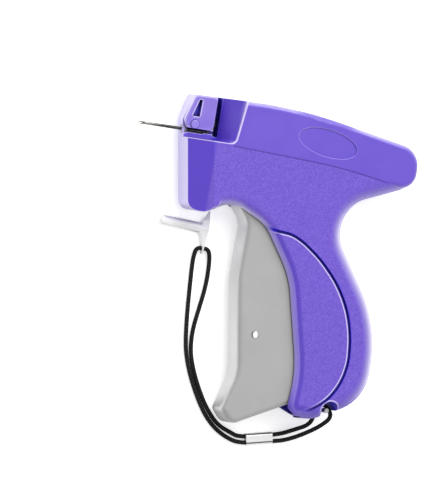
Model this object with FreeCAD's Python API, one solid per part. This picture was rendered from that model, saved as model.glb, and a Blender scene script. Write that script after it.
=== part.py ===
"""Garment tag attacher: pistol-shaped, needle at the nose, wrist strap at the foot of the grip.

All sizes are millimetres. The working frame has x running from the nose to the tail, y up
along the grip and z across the body; z = 0 is the parting plane of the two casing halves,
the ejector rod runs along y = 0. The gun is laid down on its right side for the export:
ORIGIN moves the middle of its footprint on the table to the frame's origin.
"""
import FreeCAD, Part
import math
import os

V = FreeCAD.Vector
os.makedirs("parts", exist_ok=True)

# ---------------------------------------------------------------- frame
HALF = 12.0                     # half of the casing's thickness
ORIGIN = V(47.2, -58.9, -HALF)  # footprint's middle on the table, in the working frame

# ---------------------------------------------------------------- casing
WALL = 2.4                      # side and edge walls of both halves
RIM_RADIUS = 2.4                # rounding of the barrel's edges
FRONT_RADIUS = 4.8              # rounding of the edge along the trigger
BACK_RADIUS = 7.0               # rounding of the edge in the palm
NOSE_HALF = 6.3                 # half width of the nose's front face
NOSE_TAPER = 11.4               # length over which the nose reaches full thickness
LEDGE_Y = -3.7                  # lower rim of the open nose
GROOVE_DEPTH = 1.2              # dark line round the handle's inner panel
GROOVE_WIDTH = 1.2
CREASE_DEPTH = 0.3              # fine line under the smooth barrel
CREASE_WIDTH = 0.5
RIM_BREAK = 0.3                 # rounding of the edges of the nose opening, badge and grooves
BADGE = (69.4, 3.3, 15.4, 6.3, -8.5)   # centre x, y, semi-axes and tilt of the oval field
BADGE_DEPTH = 0.6
GRIP_REACH = 127.9              # from the rod's line down to the foot of the grip
TAIL_REACH = 117.7              # from the nose to the end of the barrel
SEAM_FRONT_X = 17.5             # under the nose, where barrel and grip meet
SEAM_OVERLAP = 4.0              # depth to which barrel and grip run into each other

# Corners of the casing's outline: x, y, corner radius
NOSE_TOP = (3.2, 16.9, 1.5)
TOP_BEND = (52.0, 17.9, 250.0)
TAIL_TOP = (TAIL_REACH - 0.1, 6.2, 10.5)
TAIL_FOOT = (TAIL_REACH, -11.5, 10.5)
BARREL_FOOT = (TAIL_REACH, -14.1, 8.0)  # the smooth barrel stands proud of the rounded underside
BARREL_END = (84.0, -9.2, 0.0)          # its lower edge runs into the flat side here
BARREL_TOP_Y = -3.0
WAIST = (75.3, -28.4, 17.0)
PALM = (110.2, -78.8, 62.0)
HEEL = (110.2, 12.5 - GRIP_REACH, 22.0)
FOOT = (84.5, -GRIP_REACH, 12.0)
TOE_BACK = (75.5, -0.5 - GRIP_REACH, 0.0)
TOE_FRONT = (69.6, 4.1 - GRIP_REACH, 0.0)
TOE_BACK_RIGHT = (81.0, -0.4 - GRIP_REACH, 0.0)
TOE_FRONT_RIGHT = (71.0, 4.4 - GRIP_REACH, 0.0)
GRIP_LOW = (71.3, -107.0, 60.0)
GRIP_HIGH = (60.7, -62.0, 45.0)
ARCH = (45.0, -39.6, 20.0)
CHIN_BACK = (27.3, -31.1, 12.0)
CHIN = (12.5, -37.9, 8.0)
CHIN_FRONT = (5.3, -37.0, 5.2)
BROW = (-1.4, 4.7, 2.5)

# Fine lines on both sides: under the smooth barrel, and round the handle's inner panel
CREASE = [(22.0, -4.7), (30.1, -5.1), (68.3, -6.9), (109.8, -13.0)]
GRIP_LINE = [(44.7, -40.8), (52.1, -41.8), (57.4, -42.4), (62.4, -44.3), (71.3, -50.0),
             (83.1, -61.2), (91.7, -75.3), (95.3, -88.8), (95.7, -100.4), (92.3, -111.4),
             (87.2, -118.4), (82.7, -122.0), (77.0, -125.2)]

# ---------------------------------------------------------------- nose and needle
SLOT_X = (14.7, 17.3)           # slot that takes the clip of fasteners
SLOT_DEPTH = 4.5
OPEN_CORNER = 2.5               # rounding of the open field's lower back corner
SLOT_FLOOR = -1.7
NEEDLE_Z = -1.0                 # needle and rod lie just inside the right half
NEEDLE_TIP = -23.2
NEEDLE_END = 12.9
NEEDLE_R = 0.75
NEEDLE_BORE_R = 0.55
ROD_R = 0.4
ROD_HOLE_R = 0.5
COLLAR_R = 1.9
COLLAR_TOP = 0.1                # flat on the collar, under the lock cover
NEEDLE_MOUTH = 6.5              # length of the needle's open groove at the tip
NEEDLE_SEAT = (-6.0, 10.0)      # length of the seat that holds the needle's base
SEAT_Y = (-1.3, 1.1)
CAP_PIVOT = (4.1, 2.9)
CAP_Z = (0.25, 2.5)
CAP_PIN_R = 1.5
GEAR_CENTRE = (4.5, -6.4)       # y, z of the feed gear's axis
GEAR_TIP_R = 2.7
GEAR_ROOT_R = 1.9
GEAR_TEETH = 12
GEAR_BORE_R = 0.8
BLADE_T = 1.0

# ---------------------------------------------------------------- drive
TRIGGER_PIVOT = V(41.5, -21.0, 0)
TRIGGER_TURN = 14.0             # degrees of trigger squeeze
LEVER_PIVOT = V(82.0, -62.5, 0)
LEVER_RATIO = 2.6               # lever degrees per trigger degree
DRIVE_PIN = V(72.5, -92.0, 0)   # place of the drive pin at rest
SLIDE_PIN = V(95.0, -2.5, 0)    # place of the slide's pin at rest
SLIDE_TRAVEL = 40.0
PIVOT_R = 2.0
DRIVE_PIN_R = 2.0
SLIDE_PIN_R = 1.6
RUNNING_FIT = 0.05
SLOT_FIT = 0.35                 # drive pin in the lever's lower slot
UPPER_FIT = 0.65                # slide pin in the lever's upper slot
LEVER_HALF = 2.0                # half of the lever's thickness
LEVER_HUB_R = 6.0
LEVER_WALL = 2.2                # material around the lever's slots
LEVER_KNEE = V(73.0, -29.0, 0)
LEVER_KNEE_R = 4.0
SIDE_GAP = 0.4                  # between plates that pass each other
PIN_END = HALF - 1.3            # blind end of the pivot bores in the side walls
PUSH_Z = (LEVER_HALF + SIDE_GAP, LEVER_HALF + SIDE_GAP + 1.2)
SPRING_R = 4.4
SPRING_WIRE_R = 0.45
SPRING_SIDES = 8                # flats on the coil's wire
SPRING_PITCH = 1.0
SPRING_TURNS = 3
SPRING_BASE = LEVER_HALF + 0.9
SPRING_LEG = 11.0
SPRING_STUD = V(80.6, -46.5, 0)
SLIDE_HALF = 5.2
SLIDE_UP = 5.0                  # slide above and below its pin
SLIDE_DOWN = 5.5
SLIDE_REAR = 6.5
SLIDE_FRONT = 13.8
SLIDE_BRIDGE = 3.3
GUIDE_X = (30.0, 36.5)          # rod guide, ahead of the slide
GUIDE_HALF = 3.2
LEAF_Y = (-1.2, 2.2)            # width and level of the slide's spring leaf
LEAF_Z = (-4.8, -4.2)

# ---------------------------------------------------------------- trigger
TRIGGER_HALF = 7.6
TRIGGER_WALL = 2.1
TRIGGER_GAP = 0.6               # trigger to the edges of its opening
TRIGGER_EDGE = 2.6
HUB_R = 5.3
TRIGGER_PIN = V(48.4, -92.0, 0)
TRIGGER_PIN_R = 1.8
TRIGGER_TOE_DIR = V(0.898, 0.439, 0)   # direction of the trigger's bottom edge

TRIGGER_CORNERS = [
    (38.5, -16.5, 3.0), (27.5, -28.0, 3.0), (36.9, -40.0, 9.0), (35.9, -66.0, 30.0),
    (42.7, 16.4 - GRIP_REACH, 22.0), (37.0, -1.6 - GRIP_REACH, 3.0),
    (43.0, -8.3 - GRIP_REACH, 5.0), (73.6, 6.6 - GRIP_REACH, 1.5),
    (74.6, -107.0, 40.0), (64.4, -62.0, 30.0), (49.5, -40.0, 10.0), (47.5, -16.5, 5.0),
]
TRIGGER_FRONT = 7               # the first corners belong to the closed front of the shell

# ---------------------------------------------------------------- screws
SCREWS = [(12.5, -28.0), (36.0, 11.3), (111.0, -4.6), (102.0, -101.0), (96.5, -75.0)]
SCREW_R = 1.2
SCREW_HEAD_R = 2.6
SCREW_HEAD_T = 1.9
SCREW_SEAT = -8.3               # z of the face under the screw heads
SCREW_TIP = 6.5
BOSS_R = 3.2
BOSS_R_RIGHT = 4.2

# ---------------------------------------------------------------- strap
CORD_R = 0.925
NOTCH = V(90.9, 5.1 - GRIP_REACH, 0)
NOTCH_R = 4.5
NOTCH_FLOOR = -8.6
NOTCH_WALL = 1.3
NOTCH_DIR = V(0.41, -0.91, 0)
POST_R = 1.1
POST_Z = (-10.0, 6.5)
POST_PLACE = NOTCH + V(0.1, -0.2, 0)
FERRULE = (65.1, -140.9, 11.4)  # middle and direction in degrees
FERRULE_SIZE = (13.5, 5.8, 3.3)
FERRULE_EDGE = 1.4
CAP_TUBE_END = V(-2.8, -44.2, 0)       # closed end of the needle cap's tube
CAP_TUBE_LENGTH = 26.0
CAP_TUBE_R = 2.75
CAP_TUBE_BORE = 1.1
CAP_ANGLE = -3.2
CAP_WEB = 1.2                   # thickness of the needle cap's wings
CAP_WING_UP = 8.5
CAP_WING_DOWN = 12.4
EYELET_R = 3.1
EYELET_HOLE_R = 2.0
EYELET_LOCAL = (CAP_TUBE_LENGTH - 1.4, -CAP_WING_DOWN + 0.9)
CORD_Z = -HALF + CORD_R + 0.03
LANE = 1.25                     # the two lanes of the ferrule lie this far off its middle


# ================================================================ helpers
def outline(corners):
    """Closed wire through corners (x, y, radius); a radius of 0 leaves the corner sharp."""
    count = len(corners)
    joints = []
    for i in range(count):
        here = V(corners[i][0], corners[i][1], 0)
        radius = corners[i][2]
        if radius <= 0:
            joints.append((here, here, None))
            continue
        back = (V(corners[i - 1][0], corners[i - 1][1], 0) - here).normalize()
        ahead = corners[(i + 1) % count]
        forth = (V(ahead[0], ahead[1], 0) - here).normalize()
        half = back.getAngle(forth) / 2
        reach = radius / math.tan(half)
        middle = here + (back + forth).normalize() * (radius / math.sin(half) - radius)
        joints.append((here + back * reach, here + forth * reach, middle))
    edges = []
    for i in range(count):
        start, stop, middle = joints[i]
        if middle is not None:
            edges.append(Part.Arc(start, middle, stop).toShape())
        following = joints[(i + 1) % count][0]
        if stop.distanceToPoint(following) > 1e-6:
            edges.append(Part.LineSegment(stop, following).toShape())
    return Part.Wire(edges)


def signed_area(corners):
    total = 0
    for i in range(len(corners)):
        x0, y0 = corners[i - 1][:2]
        x1, y1 = corners[i][:2]
        total += x0 * y1 - x1 * y0
    return total / 2


def inset(corners, depth):
    """The same outline moved inwards by depth (outwards when negative), radii included."""
    count = len(corners)
    side = 1 if signed_area(corners) > 0 else -1
    moved = []
    for i in range(count):
        here = V(corners[i][0], corners[i][1], 0)
        ahead = corners[(i + 1) % count]
        before = (here - V(corners[i - 1][0], corners[i - 1][1], 0)).normalize()
        after = (V(ahead[0], ahead[1], 0) - here).normalize()
        turn = before.x * after.y - before.y * after.x
        normal_in = V(-before.y, before.x, 0) * side
        normal_out = V(-after.y, after.x, 0) * side
        shift = (normal_in + normal_out) * (depth / (1 + normal_in.dot(normal_out)))
        radius = corners[i][2]
        if turn * side > 0:
            radius = max(radius - depth, 0)
        elif radius > 0:
            radius = max(radius + depth, 0)
        moved.append((here.x + shift.x, here.y + shift.y, radius))
    return moved


def prism(wire, z0, z1):
    face = Part.Face(wire)
    face.translate(V(0, 0, z0))
    return face.extrude(V(0, 0, z1 - z0))


def slab(corners, z0, z1):
    return prism(outline(corners), z0, z1)


def rod(place, radius, z0, z1):
    return Part.makeCylinder(radius, z1 - z0, V(place[0], place[1], z0))


def rod_x(x0, x1, y, z, radius):
    return Part.makeCylinder(radius, x1 - x0, V(x0, y, z), V(1, 0, 0))


def block(x0, x1, y0, y1, z0, z1):
    return Part.makeBox(x1 - x0, y1 - y0, z1 - z0, V(x0, y0, z0))


def cut_all(body, tools):
    for tool in tools:
        body = body.cut(tool)
    return body


def fuse(shapes):
    result = shapes[0].fuse(shapes[1:]) if len(shapes) > 1 else shapes[0]
    return result.removeSplitter()


def turned(shape, centre, degrees):
    copy = shape.copy()
    copy.rotate(V(centre.x, centre.y, 0), V(0, 0, 1), degrees)
    return copy


def turned_point(point, centre, degrees):
    angle = math.radians(degrees)
    dx = point.x - centre.x
    dy = point.y - centre.y
    x = centre.x + dx * math.cos(angle) - dy * math.sin(angle)
    y = centre.y + dx * math.sin(angle) + dy * math.cos(angle)
    return V(x, y, 0)


def hull(first, first_r, second, second_r):
    """Wire round two circles and their outer tangents."""
    axis = second - first
    length = axis.Length
    heading = math.atan2(axis.y, axis.x)
    spread = math.acos((first_r - second_r) / length)

    def on(centre, radius, angle):
        return centre + V(radius * math.cos(angle), radius * math.sin(angle), 0)

    left0 = on(first, first_r, heading + spread)
    left1 = on(second, second_r, heading + spread)
    right0 = on(first, first_r, heading - spread)
    right1 = on(second, second_r, heading - spread)
    return Part.Wire([
        Part.LineSegment(right0, right1).toShape(),
        Part.Arc(right1, on(second, second_r, heading), left1).toShape(),
        Part.LineSegment(left1, left0).toShape(),
        Part.Arc(left0, on(first, first_r, heading + math.pi), right0).toShape(),
    ])


def arm(first, first_r, second, second_r, z0, z1):
    return prism(hull(first, first_r, second, second_r), z0, z1)


def arc_slot(start, middle, stop, half_width, z0, z1):
    """Slot of one width along the arc through three points."""
    circle = Part.Arc(start, middle, stop).toShape().Curve
    centre = circle.Center
    radius = circle.Radius

    def at(point, offset):
        return centre + (point - centre).normalize() * (radius + offset)

    def beyond(point):
        tangent = V(0, 0, 1).cross((point - centre).normalize())
        if tangent.dot(point - middle) < 0:
            tangent = tangent * -1
        return point + tangent * half_width

    wire = Part.Wire([
        Part.Arc(at(start, half_width), at(middle, half_width), at(stop, half_width)).toShape(),
        Part.Arc(at(stop, half_width), beyond(stop), at(stop, -half_width)).toShape(),
        Part.Arc(at(stop, -half_width), at(middle, -half_width), at(start, -half_width)).toShape(),
        Part.Arc(at(start, -half_width), beyond(start), at(start, half_width)).toShape(),
    ])
    return prism(wire, z0, z1)


def groove(points, half_width, z0, z1):
    """Shallow cut along a smooth line through points."""
    left, right = [], []
    for i, (x, y) in enumerate(points):
        before = points[max(i - 1, 0)]
        after = points[min(i + 1, len(points) - 1)]
        along = V(after[0] - before[0], after[1] - before[1], 0).normalize()
        across = V(-along.y, along.x, 0) * half_width
        left.append(V(x, y, 0) + across)
        right.append(V(x, y, 0) - across)
    one = Part.BSplineCurve()
    one.interpolate(left)
    two = Part.BSplineCurve()
    two.interpolate(right)
    wire = Part.Wire([
        one.toShape(),
        Part.LineSegment(left[-1], right[-1]).toShape(),
        two.toShape(),
        Part.LineSegment(right[0], left[0]).toShape(),
    ])
    return prism(wire, z0, z1)


def edges_on(shape, level, chosen):
    """Edges that lie in the plane z = level and whose middle passes the test."""
    found = []
    for edge in shape.Edges:
        box = edge.BoundBox
        if abs(box.ZMin - level) > 1e-4 or abs(box.ZMax - level) > 1e-4:
            continue
        middle = edge.valueAt((edge.FirstParameter + edge.LastParameter) / 2)
        if chosen(middle):
            found.append(edge)
    return found


def mirrored(shape):
    return shape.mirror(V(0, 0, 0), V(0, 0, 1))


# ================================================================ casing
def casing_corners(right):
    toe_back = TOE_BACK_RIGHT if right else TOE_BACK
    toe_front = TOE_FRONT_RIGHT if right else TOE_FRONT
    return [NOSE_TOP, TOP_BEND, TAIL_TOP, TAIL_FOOT, WAIST, PALM, HEEL, FOOT,
            toe_back, toe_front, GRIP_LOW, GRIP_HIGH, ARCH, CHIN_BACK, CHIN, CHIN_FRONT, BROW]


def on_edge(first, second, x):
    """Point at x on the straight edge between two corners, as a sharp corner."""
    share = (x - first[0]) / (second[0] - first[0])
    return (x, first[1] + share * (second[1] - first[1]), 0.0)


def casing_body(right):
    """Solid half without its hollow: a finely rimmed barrel and a well rounded grip."""
    corners = casing_corners(right)
    seam_front = on_edge(CHIN_BACK, CHIN, SEAM_FRONT_X)
    seam_y = BARREL_END[1] + SEAM_OVERLAP
    barrel_corners = [NOSE_TOP, TOP_BEND, TAIL_TOP, BARREL_FOOT, BARREL_END,
                      (BARREL_END[0], seam_y, 0.0), (CHIN_BACK[0] + SEAM_OVERLAP, seam_y, 0.0),
                      seam_front, CHIN, CHIN_FRONT, BROW]
    grip_corners = [(TAIL_REACH, BARREL_TOP_Y, 0.0)] + corners[3:14]
    grip_corners += [seam_front, (CHIN_BACK[0], BARREL_TOP_Y, 0.0)]
    barrel = slab(barrel_corners, 0, HALF)
    rim = edges_on(barrel, HALF, lambda p: outer_edge(p, corners))
    barrel = barrel.makeFillet(RIM_RADIUS, rim)
    grip = slab(grip_corners, 0, HALF)
    back = edges_on(grip, HALF, lambda p: outer_edge(p, corners) and behind(p))
    grip = grip.makeFillet(BACK_RADIUS, back)
    front = edges_on(grip, HALF, lambda p: outer_edge(p, corners) and not behind(p) and p.y > -122)
    grip = grip.makeFillet(FRONT_RADIUS, front)
    return barrel.fuse(grip)


def outer_edge(point, corners):
    """True for a point on the casing's own outline."""
    place = Part.Vertex(V(point.x, point.y, 0))
    return place.distToShape(outline(corners))[0] < 0.01


def behind(point):
    """True for the palm's side of the grip, seen from the line down its middle."""
    return point.x > 58 - 0.23 * (point.y + 20) and point.y > -129


def nose_wedge(extra):
    """Tapering cut beside the nose; extra moves it towards the parting plane."""
    lean = (CHIN_FRONT[0] - BROW[0]) / (CHIN_FRONT[1] - BROW[1])
    top = 24.0
    depth = 66.0
    front_x = BROW[0] + (top - BROW[1]) * lean
    slope = (HALF - NOSE_HALF) / NOSE_TAPER
    reach = 8.0
    profile = Part.makePolygon([
        V(front_x - reach, top, NOSE_HALF - reach * slope - extra),
        V(front_x + NOSE_TAPER + reach, top, HALF + reach * slope - extra),
        V(front_x - reach, top, HALF + reach * slope + 6),
        V(front_x - reach, top, NOSE_HALF - reach * slope - extra),
    ])
    return Part.Face(profile).extrude(V(-lean * depth, -depth, 0))


def hollow(right):
    """Inside space of one half, stepped so that the rounded edges keep their wall."""
    corners = casing_corners(right)
    wide = slab(inset(corners, WALL), -0.1, HALF - WALL - 3.1)
    deep = slab(inset(corners, 2 * WALL), 0, HALF - WALL)
    nose_floor = LEDGE_Y - WALL
    keep_nose = block(-10, 27.5, nose_floor, 30, -1, HALF)
    space = fuse([wide, deep]).cut(keep_nose)
    return space.cut(nose_wedge(WALL * 1.15))


def trigger_sweep():
    """Space that the trigger passes through, with its gap."""
    grown = Part.Face(outline(inset(TRIGGER_CORNERS, -TRIGGER_GAP)))
    steps = 5
    copies = [turned(grown, TRIGGER_PIVOT, TRIGGER_TURN * i / steps) for i in range(steps + 1)]
    swept = copies[0].fuse(copies[1:]).removeSplitter()
    half = TRIGGER_HALF + 0.7
    swept.translate(V(0, 0, -half))
    return swept.extrude(V(0, 0, 2 * half))


def notch(z0, z1, extra):
    reach = NOTCH + NOTCH_DIR * 9
    return arm(NOTCH, NOTCH_R + extra, reach, NOTCH_R + extra, z0, z1)


def open_nose():
    """Open field over the needle: flat floor, a scoop at its back and a leaning rim."""
    low_y, high_y = LEDGE_Y, 20.0
    slot_edge = SLOT_X[1]

    def section(y, crease, rim):
        return Part.makePolygon([
            V(-12, y, -0.01), V(slot_edge, y, -0.01), V(crease, y, 9.0), V(rim, y, HALF + 0.5),
            V(-12, y, HALF + 0.5), V(-12, y, -0.01),
        ])

    field = Part.makeLoft([section(low_y, 20.2, 23.0), section(high_y, 25.0, 26.4)], True, True)
    corner = []
    for edge in field.Edges:
        box = edge.BoundBox
        if abs(box.YMax - low_y) < 1e-4 and box.XMin > slot_edge - 0.01 and box.ZLength > 0.1:
            corner.append(edge)
    return field.makeFillet(OPEN_CORNER, corner)


def broken_rims(body):
    """Rounds the edges of the open field and of the oval field on the side face."""
    x, y, major, minor, tilt = BADGE

    def on_rim(point):
        in_nose = point.x < 27.0 and LEDGE_Y - 0.1 < point.y < 16.4
        return in_nose or (abs(point.x - x) < major and abs(point.y - y) < minor + 1)

    return body.makeFillet(RIM_BREAK, edges_on(body, HALF, on_rim))


def badge():
    x, y, major, minor, tilt = BADGE
    ellipse = Part.Ellipse(V(0, 0, 0), major, minor).toShape()
    field = Part.Face(Part.Wire([ellipse]))
    field.rotate(V(0, 0, 0), V(0, 0, 1), tilt)
    field.translate(V(x, y, HALF - BADGE_DEPTH))
    return field.extrude(V(0, 0, 2 * BADGE_DEPTH))


def surface_lines():
    z1 = HALF + 1
    return [groove(CREASE, CREASE_WIDTH / 2, HALF - CREASE_DEPTH, z1),
            groove(GRIP_LINE, GROOVE_WIDTH / 2, HALF - GROOVE_DEPTH, z1)]


def bosses(screw_r):
    """Screw pillars, pivot bosses, slide rails and guide ribs of one half."""
    top = HALF - WALL + 0.1
    trigger_boss = TRIGGER_HALF + 0.3
    parts = [rod(place, screw_r, 0, top) for place in SCREWS]
    parts.append(rod(TRIGGER_PIVOT, 4.2, trigger_boss, top))
    parts.append(rod(LEVER_PIVOT, 3.4, LEVER_HALF + 0.3, top))
    start = GUIDE_X[1] + 0.5
    end = SLIDE_PIN.x + 8
    low = slide_span()[0] - 0.3
    high = slide_span()[1] + 0.3
    parts.append(block(start, end, low - 1.3, low, LEVER_HALF + 0.5, top))
    parts.append(block(start, end - 8, high, high + 1.3, LEVER_HALF + 0.5, top))
    for y in (low, 0.6):
        parts.append(block(start, end, y, y + 1.2, SLIDE_HALF + 0.3, top))
    return parts


def casing_half(right):
    solid = casing_body(right)
    body = cut_all(solid, [nose_wedge(0), hollow(right), trigger_sweep()])
    collar = notch(0, HALF, NOTCH_WALL).common(solid).cut(trigger_sweep())
    body = largest(body).fuse(bosses(BOSS_R_RIGHT if right else BOSS_R) + [collar])
    bores = [rod(place, PIVOT_R, 0, PIN_END) for place in (TRIGGER_PIVOT, LEVER_PIVOT)]
    return cut_all(body, surface_lines() + bores + [nose_wedge(0)])


def left_casing():
    body = casing_half(False)
    body = cut_all(body, [open_nose(), badge(), notch(-1, HALF + 1, 0)])
    body = cut_all(body, [rod(place, SCREW_R, -1, SCREW_TIP) for place in SCREWS])
    return broken_rims(largest(body))


def right_casing():
    body = mirrored(casing_half(True))
    body = body.cut([notch(NOTCH_FLOOR, 1, 0)])
    for place in SCREWS:
        seat = rod(place, SCREW_HEAD_R + 0.4, -HALF - 1, SCREW_SEAT)
        body = cut_all(body, [seat, rod(place, SCREW_R + 0.15, SCREW_SEAT - 0.1, 1)])
    body = cut_all(body, nose_cuts())
    body = body.cut([rod(POST_PLACE, POST_R, POST_Z[0], 0)])
    return largest(body)


def largest(shape):
    solids = sorted(shape.removeSplitter().Solids, key=lambda s: s.Volume)
    return solids[-1]


def slide_span():
    return SLIDE_PIN.y - SLIDE_DOWN, SLIDE_PIN.y + SLIDE_UP


def nose_cuts():
    """Needle seat, rod channel, clip slot, gear pocket and pin holes in the right half."""
    seat_z = NEEDLE_Z - COLLAR_R
    gear_y, gear_z = GEAR_CENTRE
    cuts = [
        block(SLOT_X[0], SLOT_X[1], SLOT_FLOOR, 20, -SLOT_DEPTH, 1),
        rod_x(SLOT_X[0], SLOT_X[1], gear_y, gear_z, GEAR_TIP_R + 0.4),
        rod_x(SLOT_X[1] - 0.1, 24.0, gear_y, gear_z, GEAR_BORE_R),
        rod_x(10.0, SLOT_X[0] + 0.1, gear_y, gear_z, GEAR_BORE_R),
        block(NEEDLE_SEAT[0], NEEDLE_SEAT[1], SEAT_Y[0], SEAT_Y[1], seat_z, 1),
        rod_x(NEEDLE_SEAT[0], 1.2, 0, NEEDLE_Z, COLLAR_R),
        rod_x(NEEDLE_SEAT[1] - 0.1, NEEDLE_END + 0.1, 0, NEEDLE_Z, NEEDLE_R),
        block(NEEDLE_SEAT[1] - 0.1, SLOT_X[0] + 0.1, -NEEDLE_R, NEEDLE_R, NEEDLE_Z, 1),
        rod_x(NEEDLE_END, SLOT_X[0] + 0.1, 0, NEEDLE_Z, NEEDLE_BORE_R),
        rod_x(SLOT_X[1] - 0.1, 30.0, 0, NEEDLE_Z, ROD_HOLE_R),
        block(SLOT_X[1] - 0.1, 30.0, -ROD_HOLE_R, ROD_HOLE_R, NEEDLE_Z, 1),
        block(SLOT_X[0] - BLADE_T, SLOT_X[0] + 0.1, 1.2, 7.0, -SLOT_DEPTH, 0),
        block(SLOT_X[1] - 0.1, 30.0, LEAF_Y[0] - 0.4, LEAF_Y[1] + 0.4, LEAF_Z[0] - 0.4, LEAF_Z[1] + 0.4),
        rod(CAP_PIVOT, CAP_PIN_R, -5.0, 1),
    ]
    return cuts


# ================================================================ needle and cap
def needle():
    """Hollow needle, slit along its top so that a fastener's bar can pass."""
    tube = rod_x(NEEDLE_TIP, NEEDLE_END, 0, NEEDLE_Z, NEEDLE_R)
    tube = tube.cut(rod_x(NEEDLE_TIP - 1, NEEDLE_END + 1, 0, NEEDLE_Z, NEEDLE_BORE_R))
    slit = block(NEEDLE_TIP - 1, NEEDLE_END + 1, -0.2, 0.2, NEEDLE_Z, NEEDLE_Z + 2)
    bevel = Part.Face(Part.makePolygon([
        V(NEEDLE_TIP - 1, -3, NEEDLE_Z - NEEDLE_R - 0.2), V(NEEDLE_TIP - 1, -3, NEEDLE_Z + 2),
        V(NEEDLE_TIP + NEEDLE_MOUTH, -3, NEEDLE_Z + 2),
        V(NEEDLE_TIP - 1, -3, NEEDLE_Z - NEEDLE_R - 0.2),
    ])).extrude(V(0, 6, 0))
    return tube.cut([slit, bevel])


def needle_base():
    """White foot that holds the needle: a collar at the nose and a bar in the seat."""
    seat_z = NEEDLE_Z - COLLAR_R
    bar = block(1.0, NEEDLE_SEAT[1], SEAT_Y[0], SEAT_Y[1], seat_z, NEEDLE_Z)
    collar = rod_x(-1.2, 1.2, 0, NEEDLE_Z, COLLAR_R)
    collar = collar.cut(block(-3, 3, -3, 3, COLLAR_TOP, 3))
    base = fuse([bar, collar])
    return base.cut(rod_x(-3, 12, 0, NEEDLE_Z, NEEDLE_R))


def needle_lock_cover():
    plate = slab([(2.9, 16.7, 1.2), (-1.2, 4.7, 2.2), (0.3, 0.9, 1.2), (14.0, 0.7, 3.0),
                  (14.2, 16.9, 1.0)], CAP_Z[0], CAP_Z[1])
    window = slab([(4.9, 14.8, 0.3), (2.2, 6.6, 0.25), (6.1, 6.7, 0.25), (6.4, 14.9, 0.3)], -1, 5)
    rim = edges_on(plate, CAP_Z[1], lambda p: True)
    plate = plate.makeFillet(0.5, rim)
    return plate.cut([window, rod(CAP_PIVOT, CAP_PIN_R + RUNNING_FIT, -1, 5)])


def lock_pin():
    shank = rod(CAP_PIVOT, CAP_PIN_R, -5.0, CAP_Z[1] + 0.1)
    head = rod(CAP_PIVOT, 2.0, CAP_Z[1] + 0.1, CAP_Z[1] + 0.7)
    head = head.makeChamfer(0.2, edges_on(head, CAP_Z[1] + 0.7, lambda p: True))
    return fuse([shank, head])


def feed_gear():
    """Ratchet gear that pulls the clip of fasteners down past the needle."""
    gear_y, gear_z = GEAR_CENTRE
    x0, x1 = SLOT_X[0] + 0.3, SLOT_X[1] - 0.3
    pitch = 2 * math.pi / GEAR_TEETH
    points = []
    for i in range(GEAR_TEETH):
        for share, radius in ((0.0, GEAR_ROOT_R), (0.35, GEAR_TIP_R), (0.55, GEAR_TIP_R),
                              (0.9, GEAR_ROOT_R)):
            angle = pitch * (i + share)
            points.append(V(x0, gear_y + radius * math.cos(angle), gear_z + radius * math.sin(angle)))
    points.append(points[0])
    disc = Part.Face(Part.makePolygon(points)).extrude(V(x1 - x0, 0, 0))
    return disc.cut(rod_x(x0 - 1, x1 + 1, gear_y, gear_z, GEAR_BORE_R + RUNNING_FIT))


def feed_gear_shaft():
    gear_y, gear_z = GEAR_CENTRE
    return rod_x(10.0, 24.0, gear_y, gear_z, GEAR_BORE_R)


def cutter_blade():
    """Small steel blade at the front of the clip slot that parts a fastener from its clip."""
    plate = block(SLOT_X[0] - BLADE_T, SLOT_X[0], 1.2, 7.0, -SLOT_DEPTH, -0.1)
    edge = Part.Face(Part.makePolygon([
        V(SLOT_X[0] - BLADE_T - 0.1, 1.1, 1), V(SLOT_X[0] - BLADE_T - 0.1, 2.4, 1),
        V(SLOT_X[0] - 0.1, 1.1, 1), V(SLOT_X[0] - BLADE_T - 0.1, 1.1, 1),
    ])).extrude(V(0, 0, -8))
    return plate.cut(edge)


# ================================================================ trigger group
def trigger():
    shell = slab(TRIGGER_CORNERS, -TRIGGER_HALF, TRIGGER_HALF)
    for level in (-TRIGGER_HALF, TRIGGER_HALF):
        shell = shell.makeFillet(TRIGGER_EDGE, edges_on(shell, level, lambda p: True))
    inner = inset(TRIGGER_CORNERS, TRIGGER_WALL)
    back = inner[:TRIGGER_FRONT]
    for corner, reach in ((inner[TRIGGER_FRONT], 16.0), (inner[-1], 12.0)):
        back.append((corner[0] + TRIGGER_TOE_DIR.x * reach, corner[1] + TRIGGER_TOE_DIR.y * reach, 0))
    room = slab(back, -TRIGGER_HALF + TRIGGER_WALL, TRIGGER_HALF - TRIGGER_WALL)
    shell = shell.cut([room])
    hub = rod(TRIGGER_PIVOT, HUB_R, -TRIGGER_HALF, TRIGGER_HALF)
    pads = [rod(TRIGGER_PIN, 3.4, LEVER_HALF + SIDE_GAP + 1.3, TRIGGER_HALF - 1),
            rod(TRIGGER_PIN, 3.4, -TRIGGER_HALF + 1, -LEVER_HALF - SIDE_GAP - 1.3)]
    shell = fuse([shell, hub] + pads)
    return shell.cut([rod(TRIGGER_PIVOT, PIVOT_R + RUNNING_FIT, -10, 10),
                      rod(TRIGGER_PIN, TRIGGER_PIN_R, -10, 10)])


def push_arm():
    """Steel fork that carries the drive pin behind the trigger."""
    plates = []
    for z0, z1 in (PUSH_Z, (-PUSH_Z[1], -PUSH_Z[0])):
        plates.append(arm(TRIGGER_PIN, 3.2, DRIVE_PIN, 3.2, z0, z1))
    bridge = block(TRIGGER_PIN.x + 4.4, TRIGGER_PIN.x + 7.4, TRIGGER_PIN.y - 2.4,
                   TRIGGER_PIN.y + 2.4, -PUSH_Z[0] - 0.1, PUSH_Z[0] + 0.1)
    fork = fuse(plates + [bridge])
    return fork.cut([rod(TRIGGER_PIN, TRIGGER_PIN_R, -9, 9), rod(DRIVE_PIN, DRIVE_PIN_R, -9, 9)])


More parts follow.
